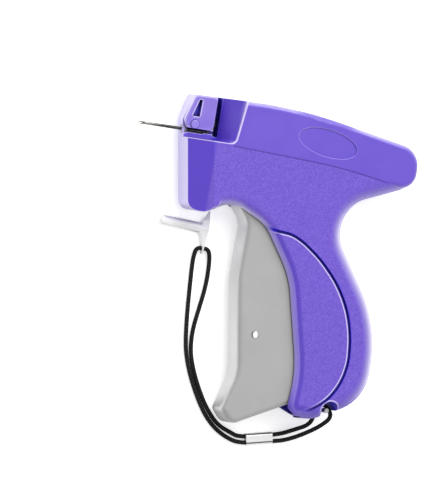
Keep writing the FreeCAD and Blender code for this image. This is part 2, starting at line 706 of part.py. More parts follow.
def trigger_pin():
    end = TRIGGER_HALF + 0.3
    pin = rod(TRIGGER_PIN, TRIGGER_PIN_R, -end, end)
    for level in (-end, end):
        pin = pin.makeChamfer(0.3, edges_on(pin, level, lambda p: True))
    return pin


def drive_pin():
    return rod(DRIVE_PIN, DRIVE_PIN_R, -PUSH_Z[1], PUSH_Z[1])


# ================================================================ lever
def drive_pin_in_lever(share):
    """Place of the drive pin in the lever's own frame at a share of the squeeze."""
    squeeze = TRIGGER_TURN * share
    moved = turned_point(DRIVE_PIN, TRIGGER_PIVOT, squeeze)
    return turned_point(moved, LEVER_PIVOT, -LEVER_RATIO * squeeze)


def slide_pin_in_lever(share):
    moved = V(SLIDE_PIN.x - SLIDE_TRAVEL * share, SLIDE_PIN.y, 0)
    return turned_point(moved, LEVER_PIVOT, -LEVER_RATIO * TRIGGER_TURN * share)


def upper_slot_ends():
    """Straight slot that covers the slide pin's path, seen from the lever."""
    steps = 20
    places = [slide_pin_in_lever(i / steps) - LEVER_PIVOT for i in range(steps + 1)]
    angles = [math.atan2(p.y, p.x) for p in places]
    reach = [p.Length for p in places]
    heading = (min(angles) + max(angles)) / 2
    along = V(math.cos(heading), math.sin(heading), 0)
    return LEVER_PIVOT + along * (min(reach) - 0.3), LEVER_PIVOT + along * (max(reach) + 0.2)


def drive_lever():
    """Bent lever that multiplies the trigger's squeeze into the slide's stroke."""
    z0, z1 = -LEVER_HALF, LEVER_HALF
    slot_r = SLIDE_PIN_R + UPPER_FIT
    drive_r = DRIVE_PIN_R + SLOT_FIT
    low, high = upper_slot_ends()
    head_r = slot_r + LEVER_WALL
    start, middle, stop = (drive_pin_in_lever(s) for s in (0, 0.5, 1))
    body = fuse([
        arm(LEVER_PIVOT, LEVER_HUB_R, LEVER_KNEE, LEVER_KNEE_R, z0, z1),
        arm(LEVER_KNEE, LEVER_KNEE_R, low, head_r, z0, z1),
        arm(low, head_r, high, head_r, z0, z1),
        arm(LEVER_PIVOT, LEVER_HUB_R, middle, drive_r + LEVER_WALL, z0, z1),
        arc_slot(start, middle, stop, drive_r + LEVER_WALL, z0, z1),
        arm(LEVER_PIVOT, LEVER_HUB_R, stop, drive_r + LEVER_WALL, z0, z1),
        rod(SPRING_STUD, 1.0, 0, 5.4),
    ])
    return body.cut([
        arm(low, slot_r, high, slot_r, z0 - 1, z1 + 1),
        arc_slot(start, middle, stop, drive_r, z0 - 1, z1 + 1),
        rod(LEVER_PIVOT, PIVOT_R + RUNNING_FIT, z0 - 1, z1 + 1),
    ])


def pivot_pin(place):
    return rod(place, PIVOT_R, -PIN_END, PIN_END)


# ================================================================ return spring
def return_spring():
    """Torsion spring round the lever's boss: one leg on the casing, one on the lever's stud."""
    height = SPRING_PITCH * SPRING_TURNS
    helix = Part.makeHelix(SPRING_PITCH, height, SPRING_R)
    corners = []
    for i in range(SPRING_SIDES + 1):
        angle = 2 * math.pi * (i + 0.5) / SPRING_SIDES
        corners.append(V(SPRING_R + SPRING_WIRE_R * math.cos(angle), 0, SPRING_WIRE_R * math.sin(angle)))
    section = Part.makePolygon(corners)
    coil = Part.Wire(helix.Edges).makePipeShell([section], True, True)
    legs = []
    for level, way in ((0, -1), (height, 1)):
        legs.append(Part.makeCylinder(SPRING_WIRE_R, SPRING_LEG, V(SPRING_R, 0, level), V(0, way, 0)))
    spring = fuse([coil] + legs)
    spring.translate(V(LEVER_PIVOT.x, LEVER_PIVOT.y, SPRING_BASE))
    return spring


# ================================================================ slide group
def slide_block():
    """Fork-shaped slide; the rod is held in its front bridge and the pin in its cheeks."""
    low, high = slide_span()
    x = SLIDE_PIN.x
    window = LEVER_HALF + SIDE_GAP
    body = block(x - SLIDE_FRONT, x + SLIDE_REAR, low, high, -SLIDE_HALF, SLIDE_HALF)
    body = body.makeFillet(1.0, [e for e in body.Edges if e.BoundBox.XLength > SLIDE_FRONT])
    room = block(x - SLIDE_FRONT + SLIDE_BRIDGE, x + SLIDE_REAR + 1, low - 1, high + 1, -window, window)
    rod_hole = rod_x(x - SLIDE_FRONT - 1, x - SLIDE_FRONT + SLIDE_BRIDGE + 1, 0, NEEDLE_Z, ROD_R)
    leaf_seat = block(x - SLIDE_FRONT - 1, x - SLIDE_FRONT + 5, LEAF_Y[0], LEAF_Y[1], *LEAF_Z)
    return body.cut([room, rod_hole, leaf_seat, rod(SLIDE_PIN, SLIDE_PIN_R, -9, 9)])


def slide_pin():
    return rod(SLIDE_PIN, SLIDE_PIN_R, -SLIDE_HALF, SLIDE_HALF)


def ejector_rod():
    tip = SLOT_X[1] + 0.3
    end = SLIDE_PIN.x - SLIDE_FRONT + SLIDE_BRIDGE
    return rod_x(tip, end, 0, NEEDLE_Z, ROD_R)


def feed_finger():
    """Spring leaf on the slide whose tip reaches the gear at the end of the stroke."""
    front = SLIDE_PIN.x - SLIDE_FRONT
    tip = SLOT_X[1] + 0.8 + SLIDE_TRAVEL
    low, high = LEAF_Y
    leaf = slab([(tip, high - 1.6, 0.5), (tip, high, 0.5), (front + 5, high, 0.0),
                 (front + 5, low, 0.0), (tip + 7, low, 3.0)], *LEAF_Z)
    return leaf


def rod_guide():
    """Guide post between the halves that keeps the thin rod straight ahead of the slide."""
    x0, x1 = GUIDE_X
    top = HALF - WALL
    post = block(x0, x1, -GUIDE_HALF, GUIDE_HALF, -top, top)
    hole = rod_x(x0 - 1, x1 + 1, 0, NEEDLE_Z, ROD_HOLE_R)
    window = block(x0 - 1, x1 + 1, LEAF_Y[0] - 0.4, LEAF_Y[1] + 0.4, LEAF_Z[0] - 0.4, LEAF_Z[1] + 0.4)
    return cut_all(post, [hole, window])


def slide_bumper():
    """Rubber block that stops the slide at rest."""
    x = SLIDE_PIN.x + SLIDE_REAR + 0.3
    low, high = slide_span()
    return block(x, x + 2.6, low - 0.2, high - 2.4, -SLIDE_HALF, SLIDE_HALF)


def casing_screws():
    screws = []
    for place in SCREWS:
        head = rod(place, SCREW_HEAD_R, SCREW_SEAT - SCREW_HEAD_T, SCREW_SEAT)
        head = head.makeChamfer(0.5, edges_on(head, SCREW_SEAT - SCREW_HEAD_T, lambda p: True))
        cross = []
        for size in ((2.8, 0.7), (0.7, 2.8)):
            cross.append(block(place[0] - size[0] / 2, place[0] + size[0] / 2,
                               place[1] - size[1] / 2, place[1] + size[1] / 2,
                               SCREW_SEAT - SCREW_HEAD_T - 1, SCREW_SEAT - SCREW_HEAD_T + 0.9))
        shank = rod(place, SCREW_R, SCREW_SEAT, SCREW_TIP)
        screws.append(fuse([head.cut(cross), shank]))
    return Part.makeCompound(screws)


# ================================================================ strap
def strap_post():
    return rod(POST_PLACE, POST_R, POST_Z[0], POST_Z[1])


def ferrule_frame():
    x, y, degrees = FERRULE
    angle = math.radians(degrees)
    along = V(math.cos(angle), math.sin(angle), 0)
    across = V(-along.y, along.x, 0)
    return V(x, y, -HALF + FERRULE_SIZE[2] / 2), along, across


def lane_point(side, reach):
    middle, along, across = ferrule_frame()
    return middle + across * (LANE * side) + along * reach


def cord_points():
    """Corners of the strap's route, from the ferrule round the post and back by the cap."""
    half = FERRULE_SIZE[0] / 2
    return [
        lane_point(1, 0.3), lane_point(1, half + 3.5),
        V(80.6, -135.2, -9.0), V(89.1, -130.8, -5.2), V(88.0, -122.2, -2.0),
        V(91.2, -119.4, -0.2), V(96.2, -125.2, 1.6), V(92.2, -130.6, -1.5),
        V(85.4, -136.0, -7.0), V(78.8, -139.2, -10.3),
        lane_point(-1, half + 2.0), lane_point(-1, -half - 3.0),
        V(48.8, -141.8, CORD_Z), V(41.0, -137.0, CORD_Z), V(34.6, -127.4, CORD_Z),
        V(29.0, -116.0, CORD_Z), V(24.4, -105.6, CORD_Z), V(21.2, -96.0, CORD_Z),
        V(19.6, -84.0, CORD_Z), V(18.6, -73.0, CORD_Z), V(18.3, -64.4, CORD_Z),
        V(20.3, -59.4, CORD_Z), V(21.5, -55.6, -7.5), V(23.6, -53.9, -6.4),
        V(27.2, -55.6, -7.4), V(27.9, -60.4, -9.6), V(27.8, -66.6, CORD_Z), V(26.9, -74.8, CORD_Z),
        V(25.4, -84.4, CORD_Z), V(24.2, -94.6, CORD_Z), V(26.8, -104.4, CORD_Z),
        V(31.2, -115.0, CORD_Z), V(36.6, -125.6, CORD_Z), V(42.6, -134.6, CORD_Z),
        V(49.6, -139.0, CORD_Z), lane_point(1, -half - 3.0), lane_point(1, -0.3),
    ]


def cord_corner(before, here, after):
    """Tangent points, middle and radius of the arc that rounds one corner of the route."""
    back = before - here
    ahead = after - here
    shorter = min(back.Length, ahead.Length)
    reach = 0.45 * shorter
    back.normalize()
    ahead.normalize()
    half = back.getAngle(ahead) / 2
    radius = reach * math.tan(half)
    middle = here + (back + ahead).normalize() * (radius / math.sin(half) - radius)
    return here + back * reach, middle, here + ahead * reach, radius, 180 - math.degrees(2 * half)


def strap_cord():
    points = cord_points()
    edges = []
    previous = points[0]
    for i in range(1, len(points) - 1):
        start, middle, stop, radius, turn = cord_corner(points[i - 1], points[i], points[i + 1])
        if previous.distanceToPoint(start) > 1e-6:
            edges.append(Part.LineSegment(previous, start).toShape())
        edges.append(Part.Arc(start, middle, stop).toShape())
        print("cord corner", i, "radius", round(radius, 2), "turn", round(turn, 1))
        previous = stop
    edges.append(Part.LineSegment(previous, points[-1]).toShape())
    path = Part.Wire(edges)
    start_dir = (points[1] - points[0]).normalize()
    circle = Part.Wire([Part.makeCircle(CORD_R, points[0], start_dir)])
    tube = path.makePipeShell([circle], True, True)
    print("cord length", round(path.Length, 1), "volume ratio",
          round(tube.Volume / (path.Length * math.pi * CORD_R ** 2), 4))
    return tube


def ferrule():
    """Crimped metal sleeve over the two lanes of the cord, with a flat top."""
    length, width, height = FERRULE_SIZE
    middle, along, across = ferrule_frame()
    body = Part.makeBox(length, width, height, V(-length / 2, -width / 2, -height / 2))
    body = body.makeFillet(FERRULE_EDGE, [e for e in body.Edges if e.BoundBox.XLength > length - 0.1])
    body.rotate(V(0, 0, 0), V(0, 0, 1), FERRULE[2])
    body.translate(middle)
    lanes = []
    for side in (-1, 1):
        lanes.append(Part.makeCylinder(CORD_R, length + 2, lane_point(side, -length / 2 - 1), along))
    return body.cut(lanes)


def needle_cap():
    """Soft cap for the needle: closed tube with two flat wings and an eyelet for the strap."""
    length, radius = CAP_TUBE_LENGTH, CAP_TUBE_R
    tube = rod_x(radius, length, 0, 0, radius).fuse(Part.makeSphere(radius, V(radius, 0, 0)))
    web = CAP_WEB / 2
    up = slab([(length - 11.0, radius - 0.6, 0), (length - 1.6, CAP_WING_UP, 1.0),
               (length, CAP_WING_UP, 0.5), (length, 0, 0), (length - 11.0, 0, 0)], -web, web)
    down = slab([(length - 9.0, -radius + 0.6, 0), (length - 9.0, 0, 0), (length, 0, 0),
                 (length, -CAP_WING_DOWN, 0.5), (length - 2.6, -CAP_WING_DOWN, 1.0)], -web, web)
    ring = rod(EYELET_LOCAL, EYELET_R, -web, web)
    cap = fuse([tube, up, down, ring])
    cap = cap.cut([rod_x(radius, length + 1, 0, 0, CAP_TUBE_BORE),
                   rod(EYELET_LOCAL, EYELET_HOLE_R, -3, 3)])
    cap.rotate(V(0, 0, 0), V(0, 0, 1), CAP_ANGLE)
    cap.translate(V(CAP_TUBE_END.x, CAP_TUBE_END.y, -HALF + radius))
    return cap


NODES = {
    "left_casing": left_casing,
    "right_casing": right_casing,
    "needle": needle,
    "needle_base": needle_base,
    "needle_lock_cover": needle_lock_cover,
    "lock_pin": lock_pin,
    "feed_gear": feed_gear,
    "feed_gear_shaft": feed_gear_shaft,
    "cutter_blade": cutter_blade,
    "trigger": trigger,
    "trigger_pivot_pin": lambda: pivot_pin(TRIGGER_PIVOT),
    "push_arm": push_arm,
    "trigger_pin": trigger_pin,
    "drive_pin": drive_pin,
    "drive_lever": drive_lever,
    "lever_pivot_pin": lambda: pivot_pin(LEVER_PIVOT),
    "return_spring": return_spring,
    "slide_block": slide_block,
    "slide_pin": slide_pin,
    "ejector_rod": ejector_rod,
    "feed_finger": feed_finger,
    "rod_guide": rod_guide,
    "slide_bumper": slide_bumper,
    "casing_screws": casing_screws,
    "strap_post": strap_post,
    "strap_cord": strap_cord,
    "ferrule": ferrule,
    "needle_cap": needle_cap,
}

for name, make in NODES.items():
    shape = make()
    shape.translate(ORIGIN * -1)
    box = shape.BoundBox
    print(name, "valid", shape.isValid(), "solids", len(shape.Solids), "volume", round(shape.Volume, 1),
          "x", round(box.XMin, 1), round(box.XMax, 1), "y", round(box.YMin, 1), round(box.YMax, 1),
          "z", round(box.ZMin, 1), round(box.ZMax, 1))
    shape.exportStep("parts/" + name + ".step")
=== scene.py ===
"""Looks of the garment tag attacher: materials, strap, needle cap, light and camera."""

import bmesh
import bpy
import math
import numpy as np
from mathutils import Vector, Matrix


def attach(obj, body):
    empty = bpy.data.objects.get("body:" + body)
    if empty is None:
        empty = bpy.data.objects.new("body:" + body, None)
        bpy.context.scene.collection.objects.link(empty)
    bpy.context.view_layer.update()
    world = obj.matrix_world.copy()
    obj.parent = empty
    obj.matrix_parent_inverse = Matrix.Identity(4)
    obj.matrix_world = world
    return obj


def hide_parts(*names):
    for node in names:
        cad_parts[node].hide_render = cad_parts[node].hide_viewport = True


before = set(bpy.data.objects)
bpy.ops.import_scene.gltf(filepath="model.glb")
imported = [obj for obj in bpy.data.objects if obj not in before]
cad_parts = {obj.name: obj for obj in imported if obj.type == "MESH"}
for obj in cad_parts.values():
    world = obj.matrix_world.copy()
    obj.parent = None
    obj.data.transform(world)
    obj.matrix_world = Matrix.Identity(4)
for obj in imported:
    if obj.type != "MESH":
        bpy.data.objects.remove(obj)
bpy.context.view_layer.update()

MM = 0.001
# The gun's own frame, in mm: x from nose to tail, y up the grip, z across, rod along y = 0.
ROW_ORIGIN = Vector((47.2, -58.9, -12.0))       # the gun's point at the row frame's origin
HALF = 12.0                     # half of the casing's thickness

# Photographed view: turned 22 degrees towards the nose and rolled 8.4 degrees
YAW = math.radians(22.0)
ROLL = math.radians(8.4)
LOOK_AT = (27.5, -54.5, 0.0)
FRAME_HEIGHT = 238.0 * MM
LENS = 1200.0
SENSOR = 36.0
CLIP = (0.05, 20.0)


def place(x, y, z=0.0):
    """Point of the gun's frame, in mm, as a point of the row frame, in metres."""
    return (Vector((x, y, z)) - ROW_ORIGIN) * MM


def linked(name, data):
    """A new object with the data, in the scene's collection."""
    made = bpy.data.objects.new(name, data)
    bpy.context.scene.collection.objects.link(made)
    return made


# ------------------------------------------------------------------ shader helpers
def linear(*srgb):
    """sRGB 0-255 to the linear colour that a socket takes."""
    out = []
    for c in srgb:
        c = c / 255
        out.append(c / 12.92 if c <= 0.04045 else ((c + 0.055) / 1.055) ** 2.4)
    return (*out, 1.0)


def darker(colour, share):
    """The colour times a share, still opaque."""
    return tuple(c * share for c in colour[:3]) + (1.0,)


def new_material(name):
    """A material with nodes, its tree, and its Principled shader."""
    mat = bpy.data.materials.new(name)
    mat.use_nodes = True
    tree = mat.node_tree
    return mat, tree, tree.nodes["Principled BSDF"]


def feed(tree, socket, value):
    """Links a socket to the value, or sets it where the value is plain."""
    if isinstance(value, bpy.types.NodeSocket):
        tree.links.new(value, socket)
    else:
        socket.default_value = value


def add(tree, kind, **settings):
    """A node with its named inputs or its properties set."""
    node = tree.nodes.new(kind)
    for key, value in settings.items():
        name = key.replace("_", " ")
        if name in node.inputs:
            feed(tree, node.inputs[name], value)
        else:
            setattr(node, key, value)
    return node


def math_node(tree, operation, *values):
    """Result of a Math node on sockets and numbers."""
    node = add(tree, "ShaderNodeMath", operation=operation)
    for slot, value in enumerate(values):
        feed(tree, node.inputs[slot], value)
    return node.outputs[0]


def chained(tree, operation, values):
    """Result of an operation on the first two values, then on that and the next, and so on."""
    result = values[0]
    for value in values[1:]:
        result = math_node(tree, operation, result, value)
    return result


def times(tree, *values):
    """Product of the values."""
    return chained(tree, "MULTIPLY", values)


def highest(tree, *values):
    """Largest of the values."""
    return chained(tree, "MAXIMUM", values)


def minus(tree, first, second):
    """The first value less the second."""
    return math_node(tree, "SUBTRACT", first, second)


def off(tree, value, middle):
    """How far the value is from the middle, either way."""
    return math_node(tree, "ABSOLUTE", minus(tree, value, middle))


def length_of(tree, across, up):
    """Length of a step in the plane of x and y."""
    step = tree.nodes.new("ShaderNodeCombineXYZ")
    feed(tree, step.inputs[0], across)
    feed(tree, step.inputs[1], up)
    length = add(tree, "ShaderNodeVectorMath", operation="LENGTH")
    tree.links.new(step.outputs[0], length.inputs[0])
    return length.outputs["Value"]


def ramp(tree, value, low, high, start=0.0, end=1.0):
    """Goes from low, where the value is at start, to high, where it is at end."""
    node = tree.nodes.new("ShaderNodeMapRange")
    for slot, given in enumerate((value, start, end, low, high)):
        feed(tree, node.inputs[slot], given)
    return node.outputs[0]


def rise(tree, value, start, end, most=1.0):
    """From 0 up to most between start and end."""
    return ramp(tree, value, 0.0, most, start, end)


def fall(tree, value, start, end, most=1.0):
    """From most down to 0 between start and end."""
    return ramp(tree, value, most, 0.0, start, end)


def object_mm(tree):
    """The gun frame's coordinates of the shaded point, in mm: vector, x, y, z."""
    coords = tree.nodes.new("ShaderNodeTexCoord").outputs["Object"]
    scaled = add(tree, "ShaderNodeVectorMath", operation="SCALE", Scale=1 / MM)
    tree.links.new(coords, scaled.inputs[0])
    moved = add(tree, "ShaderNodeVectorMath", operation="ADD")
    moved.inputs[1].default_value = ROW_ORIGIN
    tree.links.new(scaled.outputs[0], moved.inputs[0])
    split = tree.nodes.new("ShaderNodeSeparateXYZ")
    tree.links.new(moved.outputs[0], split.inputs[0])
    return moved.outputs[0], *split.outputs


def noise(tree, vector, scale, detail=2.0, roughness=0.5):
    """Noise between 0 and 1, with scale in features per mm."""
    return add(tree, "ShaderNodeTexNoise", Vector=vector, Scale=scale, Detail=detail,
               Roughness=roughness).outputs["Fac"]


def mix_colour(tree, share, first, second):
    """The first colour, with a share of the second over it."""
    node = add(tree, "ShaderNodeMix", data_type="RGBA")
    for slot, value in ((0, share), (6, first), (7, second)):
        feed(tree, node.inputs[slot], value)
    return node.outputs[2]


def clouded(tree, vector, scale, detail, roughness, dark, light):
    """A colour that drifts between dark and light."""
    cloud = noise(tree, vector, scale, detail, roughness)
    return mix_colour(tree, rise(tree, cloud, 0.3, 0.7), dark, light)


def corners(tree, reach, inside=False):
    """1 on open faces, towards 0 in recesses within reach mm; inside finds the outer edges."""
    return add(tree, "ShaderNodeAmbientOcclusion", Distance=reach * MM, samples=12,
               inside=inside).outputs["AO"]


def bump(tree, height, strength, depth_mm):
    """Normal of a surface with this relief."""
    return add(tree, "ShaderNodeBump", Strength=strength, Distance=depth_mm * MM,
               Height=height).outputs[0]


def satin(tree, shader, tint, roughness, openness, share_of=None):
    """Adds the satin gloss that moulded plastic shows where it turns away from the eye."""
    turned = add(tree, "ShaderNodeLayerWeight", Blend=0.5).outputs["Facing"]
    gloss = add(tree, "ShaderNodeBsdfAnisotropic", Color=tint, Roughness=roughness)
    share = math_node(tree, "ADD", rise(tree, turned, 0.10, 0.40, 0.66),
                      rise(tree, turned, 0.40, 0.66, 0.29))
    share = times(tree, share, rise(tree, openness, 0.55, 0.92))
    if share_of is not None:
        share = times(tree, share, share_of)
    mixed = tree.nodes.new("ShaderNodeMixShader")
    for slot, source in enumerate((share, shader.outputs[0], gloss.outputs[0])):
        tree.links.new(source, mixed.inputs[slot])
    tree.links.new(mixed.outputs[0], tree.nodes["Material Output"].inputs["Surface"])


# ------------------------------------------------------------------ marks on the casing, with its painted highlights and shades
CREASE_POINTS = ((22.0, -4.7), (30.1, -5.1), (68.3, -6.9), (109.8, -13.0))
NOSE_FLAT_X = 13.0              # the textured side starts behind the nose's taper
NOSE_FADE = (NOSE_FLAT_X - 0.6, NOSE_FLAT_X + 0.6)
NOSE_HALF = 6.3                 # half thickness at the front of the tapered nose
NOSE_TAPER = 0.5
LEDGE_TOP = -2.6                # the strip under the needle
LEDGE_MIDDLE = LEDGE_TOP - 0.7
LEDGE_END = (13.5, 14.5)

# Groove round the handle's inner panel, and a point that it bends round
GROOVE_POINTS = ((44.7, -40.8), (52.1, -41.8), (57.4, -42.4), (62.4, -44.3), (71.3, -50.0),
                 (83.1, -61.2), (91.7, -75.3), (95.3, -88.8), (95.7, -100.4), (92.3, -111.4),
                 (87.2, -118.4), (82.7, -122.0), (77.0, -125.2))
GROOVE_CENTRE = (62.0, -90.0)
GROOVE_HALF = 0.6
GROOVE_SHIFT = 0.12             # its painted shade line is that much off the middle
GROOVE_LIP = -GROOVE_HALF - 0.4         # painted highlight line along its edge on the trigger's side
GROOVE_FADE = (-121.0, -117.5)  # its foot runs out between these heights
GROOVE_NONE = 50.0              # mm added to the distance past the groove's ends

# Rim of the open field on the side face: height of its foot, x of its back there, and lean
FIELD_FOOT = -3.7
FIELD_BACK = 22.6
FIELD_LEAN = 0.152
FIELD_CORNER = 2.5
FIELD_RIM = 0.35                # half width of the painted highlight line on the rim
PANEL_TOP = (FIELD_FOOT - 0.6, FIELD_FOOT - 0.2)
SCOOP_START = (15.5, 16.5)

# Notch for the strap: middle, way out and radius
NOTCH_AT = (90.9, -122.8)
NOTCH_WAY = (0.41, -0.91)
NOTCH_RADIUS = 4.5

# Part of the top without painted edge highlights and with little gloss: middle and reach in x,
# height
TOP_MIDDLE = 68.0
TOP_REACH = (12.0, 18.0)
TOP_HEIGHT = (9.0, 12.0)

# Round edge of the grip beside the trigger: z of its painted highlight band, z of the painted shade
# between that and the side face, and where it is in x and y
ROUND_EDGE = ((7.5, 8.5), (10.8, 11.3))
SHADE_EDGE = ((11.0, 11.4), (11.85, 11.98))
BESIDE_TRIGGER = ((76.0, 84.0), (-44.0, -36.0))

# Foot: painted shade on its round edge, in y and z, and on its inside wall, in x, y and z
FOOT_SHADE = ((-124.0, -114.0), (9.5, 11.9))
FOOT_INSIDE = ((80.0, 83.0), (-121.0, -118.0), (6.0, 8.0))

# Gloss: little at the foot, and between the waist and the barrel except on the nose
FOOT_GLOSS = (-119.0, -106.0)
WAIST_GLOSS = (-38.0, -22.0)
BARREL_GLOSS = (0.0, 10.0)
NOSE_GLOSS = (10.0, 14.0)

# Painted colours: shade in recesses, shade on the scoop, nose panel and edges, highlight on the
# grip's edge, deepest shade, shade on the foot's inside wall, and highlight along edges and lines
RECESS_SHADE_COLOUR = linear(34, 0, 205)
PAINTED_SHADE_COLOUR = linear(84, 56, 196)
GRIP_EDGE_HIGHLIGHT = linear(148, 128, 232)
DEEPEST_SHADE_COLOUR = linear(6, 0, 96)
FOOT_WALL_SHADE_COLOUR = linear(14, 0, 150)
EDGE_HIGHLIGHT_COLOUR = linear(226, 214, 255)
RECESS_REACH = 5.0              # mm; how wide a gap may be and still get painted shade
RECESS_SHADE = (0.42, 0.74)     # openness at which a recess's painted shade is darkest, and where it ends
DEEP_SHADE = (0.28, 0.60)       # the same for the deepest painted shade
EDGE_REACH = 0.7                # mm; width of the painted highlight line along an edge
LINE_SHARE = 0.9                # of a painted highlight or shade line, over the colour under it


def curve_through(tree, value, stops, out_low, out_high):
    """Smooth function through stops of (value, result)."""
    low, high = min(v for v, r in stops), max(v for v, r in stops)
    scaled = sorted(((v - low) / (high - low), (r - out_low) / (out_high - out_low))
                    for v, r in stops)
    curve = tree.nodes.new("ShaderNodeFloatCurve")
    points = curve.mapping.curves[0].points
    points[0].location = scaled[0]
    points[1].location = scaled[-1]
    for stop in scaled[1:-1]:
        points.new(*stop)
    curve.mapping.update()
    tree.links.new(rise(tree, value, low, high), curve.inputs["Value"])
    return ramp(tree, curve.outputs[0], out_low, out_high)


def off_crease(tree, x, y):
    """Depth below the line between the smooth barrel and the textured grip, in mm."""
    return minus(tree, curve_through(tree, x, CREASE_POINTS, -20.0, 0.0), y)


def off_groove(tree, x, y):
    """Distance from the middle of the handle's groove, in mm, negative on the trigger's side."""
    across = minus(tree, x, GROOVE_CENTRE[0])
    up = minus(tree, y, GROOVE_CENTRE[1])
    heading = math_node(tree, "ARCTAN2", up, across)
    stops = []
    for px, py in GROOVE_POINTS:
        dx, dy = px - GROOVE_CENTRE[0], py - GROOVE_CENTRE[1]
        stops.append((math.atan2(dy, dx), math.hypot(dx, dy)))
    middle = curve_through(tree, heading, stops, 30.0, 55.0)
    away = minus(tree, length_of(tree, across, up), middle)
    above = math_node(tree, "GREATER_THAN", heading, max(v for v, r in stops))
    below = math_node(tree, "LESS_THAN", heading, min(v for v, r in stops))
    outside = math_node(tree, "ADD", above, below)
    return math_node(tree, "MULTIPLY_ADD", outside, GROOVE_NONE, away)


def off_notch(tree, x, y):
    """Distance from the middle line of the strap's notch in the foot, in mm."""
    across = minus(tree, x, NOTCH_AT[0])
    up = minus(tree, y, NOTCH_AT[1])
    along = math_node(tree, "MULTIPLY_ADD", across, NOTCH_WAY[0], times(tree, up, NOTCH_WAY[1]))
    along = highest(tree, along, 0.0)
    rest = [minus(tree, part, times(tree, along, way))
            for part, way in zip((across, up), NOTCH_WAY)]
    return length_of(tree, *rest)


def off_field_rim(tree, x, y):
    """Distance outward from the rim of the open field in the nose, in mm."""
    back = math_node(tree, "MULTIPLY_ADD", minus(tree, y, FIELD_FOOT), FIELD_LEAN,
                     FIELD_BACK - FIELD_CORNER)
    side = minus(tree, x, back)
    foot = minus(tree, FIELD_FOOT + FIELD_CORNER, y)
    outer = length_of(tree, highest(tree, side, 0.0), highest(tree, foot, 0.0))
    inner = math_node(tree, "MINIMUM", highest(tree, side, foot), 0.0)
    return minus(tree, math_node(tree, "ADD", outer, inner), FIELD_CORNER)


def with_painted_shade(tree, tone, shade_share, openness, colour=RECESS_SHADE_COLOUR, deep=DEEPEST_SHADE_COLOUR):
    """The tone with painted shade: darker and more saturated in gaps and grooves."""
    tone = mix_colour(tree, shade_share, tone, colour)
    return mix_colour(tree, fall(tree, openness, *DEEP_SHADE), tone, deep)


def painted_edge_highlight(tree, reach=EDGE_REACH):
    """Share of the painted highlight along the outer edges."""
    return fall(tree, corners(tree, reach, inside=True), 0.55, 0.85, LINE_SHARE)


def painted_highlight_lines(tree, x, y, z, below, groove, field, top):
    """Share of the painted highlight on edges, and on the lines of groove, field and notch."""
    from_lines = math_node(tree, "MINIMUM", math_node(tree, "ABSOLUTE", below),
                           math_node(tree, "ABSOLUTE", groove))
    # painted highlight along the outer edges, away from the groove and crease lines and the top
    edge_glint = times(tree, painted_edge_highlight(tree), rise(tree, from_lines, 1.0, 1.5),
                 fall(tree, top, 0.0, 1.0))
    # painted highlight lines on the groove's lip, the field's rim and round the notch
    lip = times(tree, fall(tree, off(tree, groove, GROOVE_LIP), 0.15, 0.42, LINE_SHARE),
                ramp(tree, y, 0.3, 1.0, *GROOVE_FADE))
    rim = fall(tree, math_node(tree, "ABSOLUTE", field), FIELD_RIM * 0.6, FIELD_RIM * 1.4,
               LINE_SHARE)
    tapered = math_node(tree, "MULTIPLY_ADD", x, NOSE_TAPER, NOSE_HALF)
    face = math_node(tree, "MINIMUM", tapered, HALF)
    rim = times(tree, rim, rise(tree, minus(tree, z, face), -1.3, -0.7))
    notch = off(tree, off_notch(tree, x, y), NOTCH_RADIUS + 0.4)
    notch = times(tree, fall(tree, notch, 0.2, 0.45, LINE_SHARE), rise(tree, z, 5.0, 6.0))
    return highest(tree, edge_glint, lip, rim, notch)


def casing_recess_shade(tree, x, y, below, groove, openness):
    """Share of the painted shade in the casing's recesses, groove and notch."""
    # painted shade in recesses, less on the ledge, and painted shade lines in the groove and notch
    shade_share = times(tree, fall(tree, openness, *RECESS_SHADE),
                  ramp(tree, math_node(tree, "ABSOLUTE", below), 0.35, 1.0, 0.35, 0.7))
    ledge = ramp(tree, off(tree, y, LEDGE_MIDDLE), 0.15, 1.0, 0.8, 1.1)
    shade_share = times(tree, shade_share, highest(tree, ledge, rise(tree, x, *LEDGE_END)))
    groove_shade = times(tree, fall(tree, off(tree, groove, GROOVE_SHIFT), GROOVE_HALF + 0.1,
                                 GROOVE_HALF + 0.3),
                      ramp(tree, y, 0.3, 1.0, *GROOVE_FADE))
    notch_shade = fall(tree, off_notch(tree, x, y), NOTCH_RADIUS + 0.05, NOTCH_RADIUS + 0.2)
    return highest(tree, shade_share, groove_shade, notch_shade)


def painted_casing_shading(tree, x, y, z, scoop):
    """Shares of the casing's broad painted shades and of the painted highlight on the grip's edge,
    each with its colour, in the order they lie.
    """
    (trigger_x, trigger_y), (foot_y, foot_z) = BESIDE_TRIGGER, FOOT_SHADE
    beside = times(tree, fall(tree, x, *trigger_x), fall(tree, y, *trigger_y))
    # painted highlight band on the grip's round edge, and painted shade beside it, on the nose
    # panel, on the foot's round edge and on the foot's inside wall
    pale = times(tree, rise(tree, z, *ROUND_EDGE[0]), fall(tree, z, *ROUND_EDGE[1]))
    shade = times(tree, rise(tree, z, *SHADE_EDGE[0]), fall(tree, z, *SHADE_EDGE[1], 0.7))
    panel = times(tree, fall(tree, x, *NOSE_FADE, 0.7), fall(tree, y, *PANEL_TOP))
    low = times(tree, fall(tree, y, *foot_y, 0.8), fall(tree, z, *foot_z))
    inside_x, inside_y, inside_z = FOOT_INSIDE
    inside = times(tree, fall(tree, z, *inside_z, 0.95), fall(tree, x, *inside_x),
                   fall(tree, y, *inside_y))
    return ((times(tree, scoop, 0.8), PAINTED_SHADE_COLOUR), (times(tree, pale, beside), GRIP_EDGE_HIGHLIGHT),
            (times(tree, shade, beside), PAINTED_SHADE_COLOUR), (panel, PAINTED_SHADE_COLOUR), (low, PAINTED_SHADE_COLOUR),
            (inside, FOOT_WALL_SHADE_COLOUR))


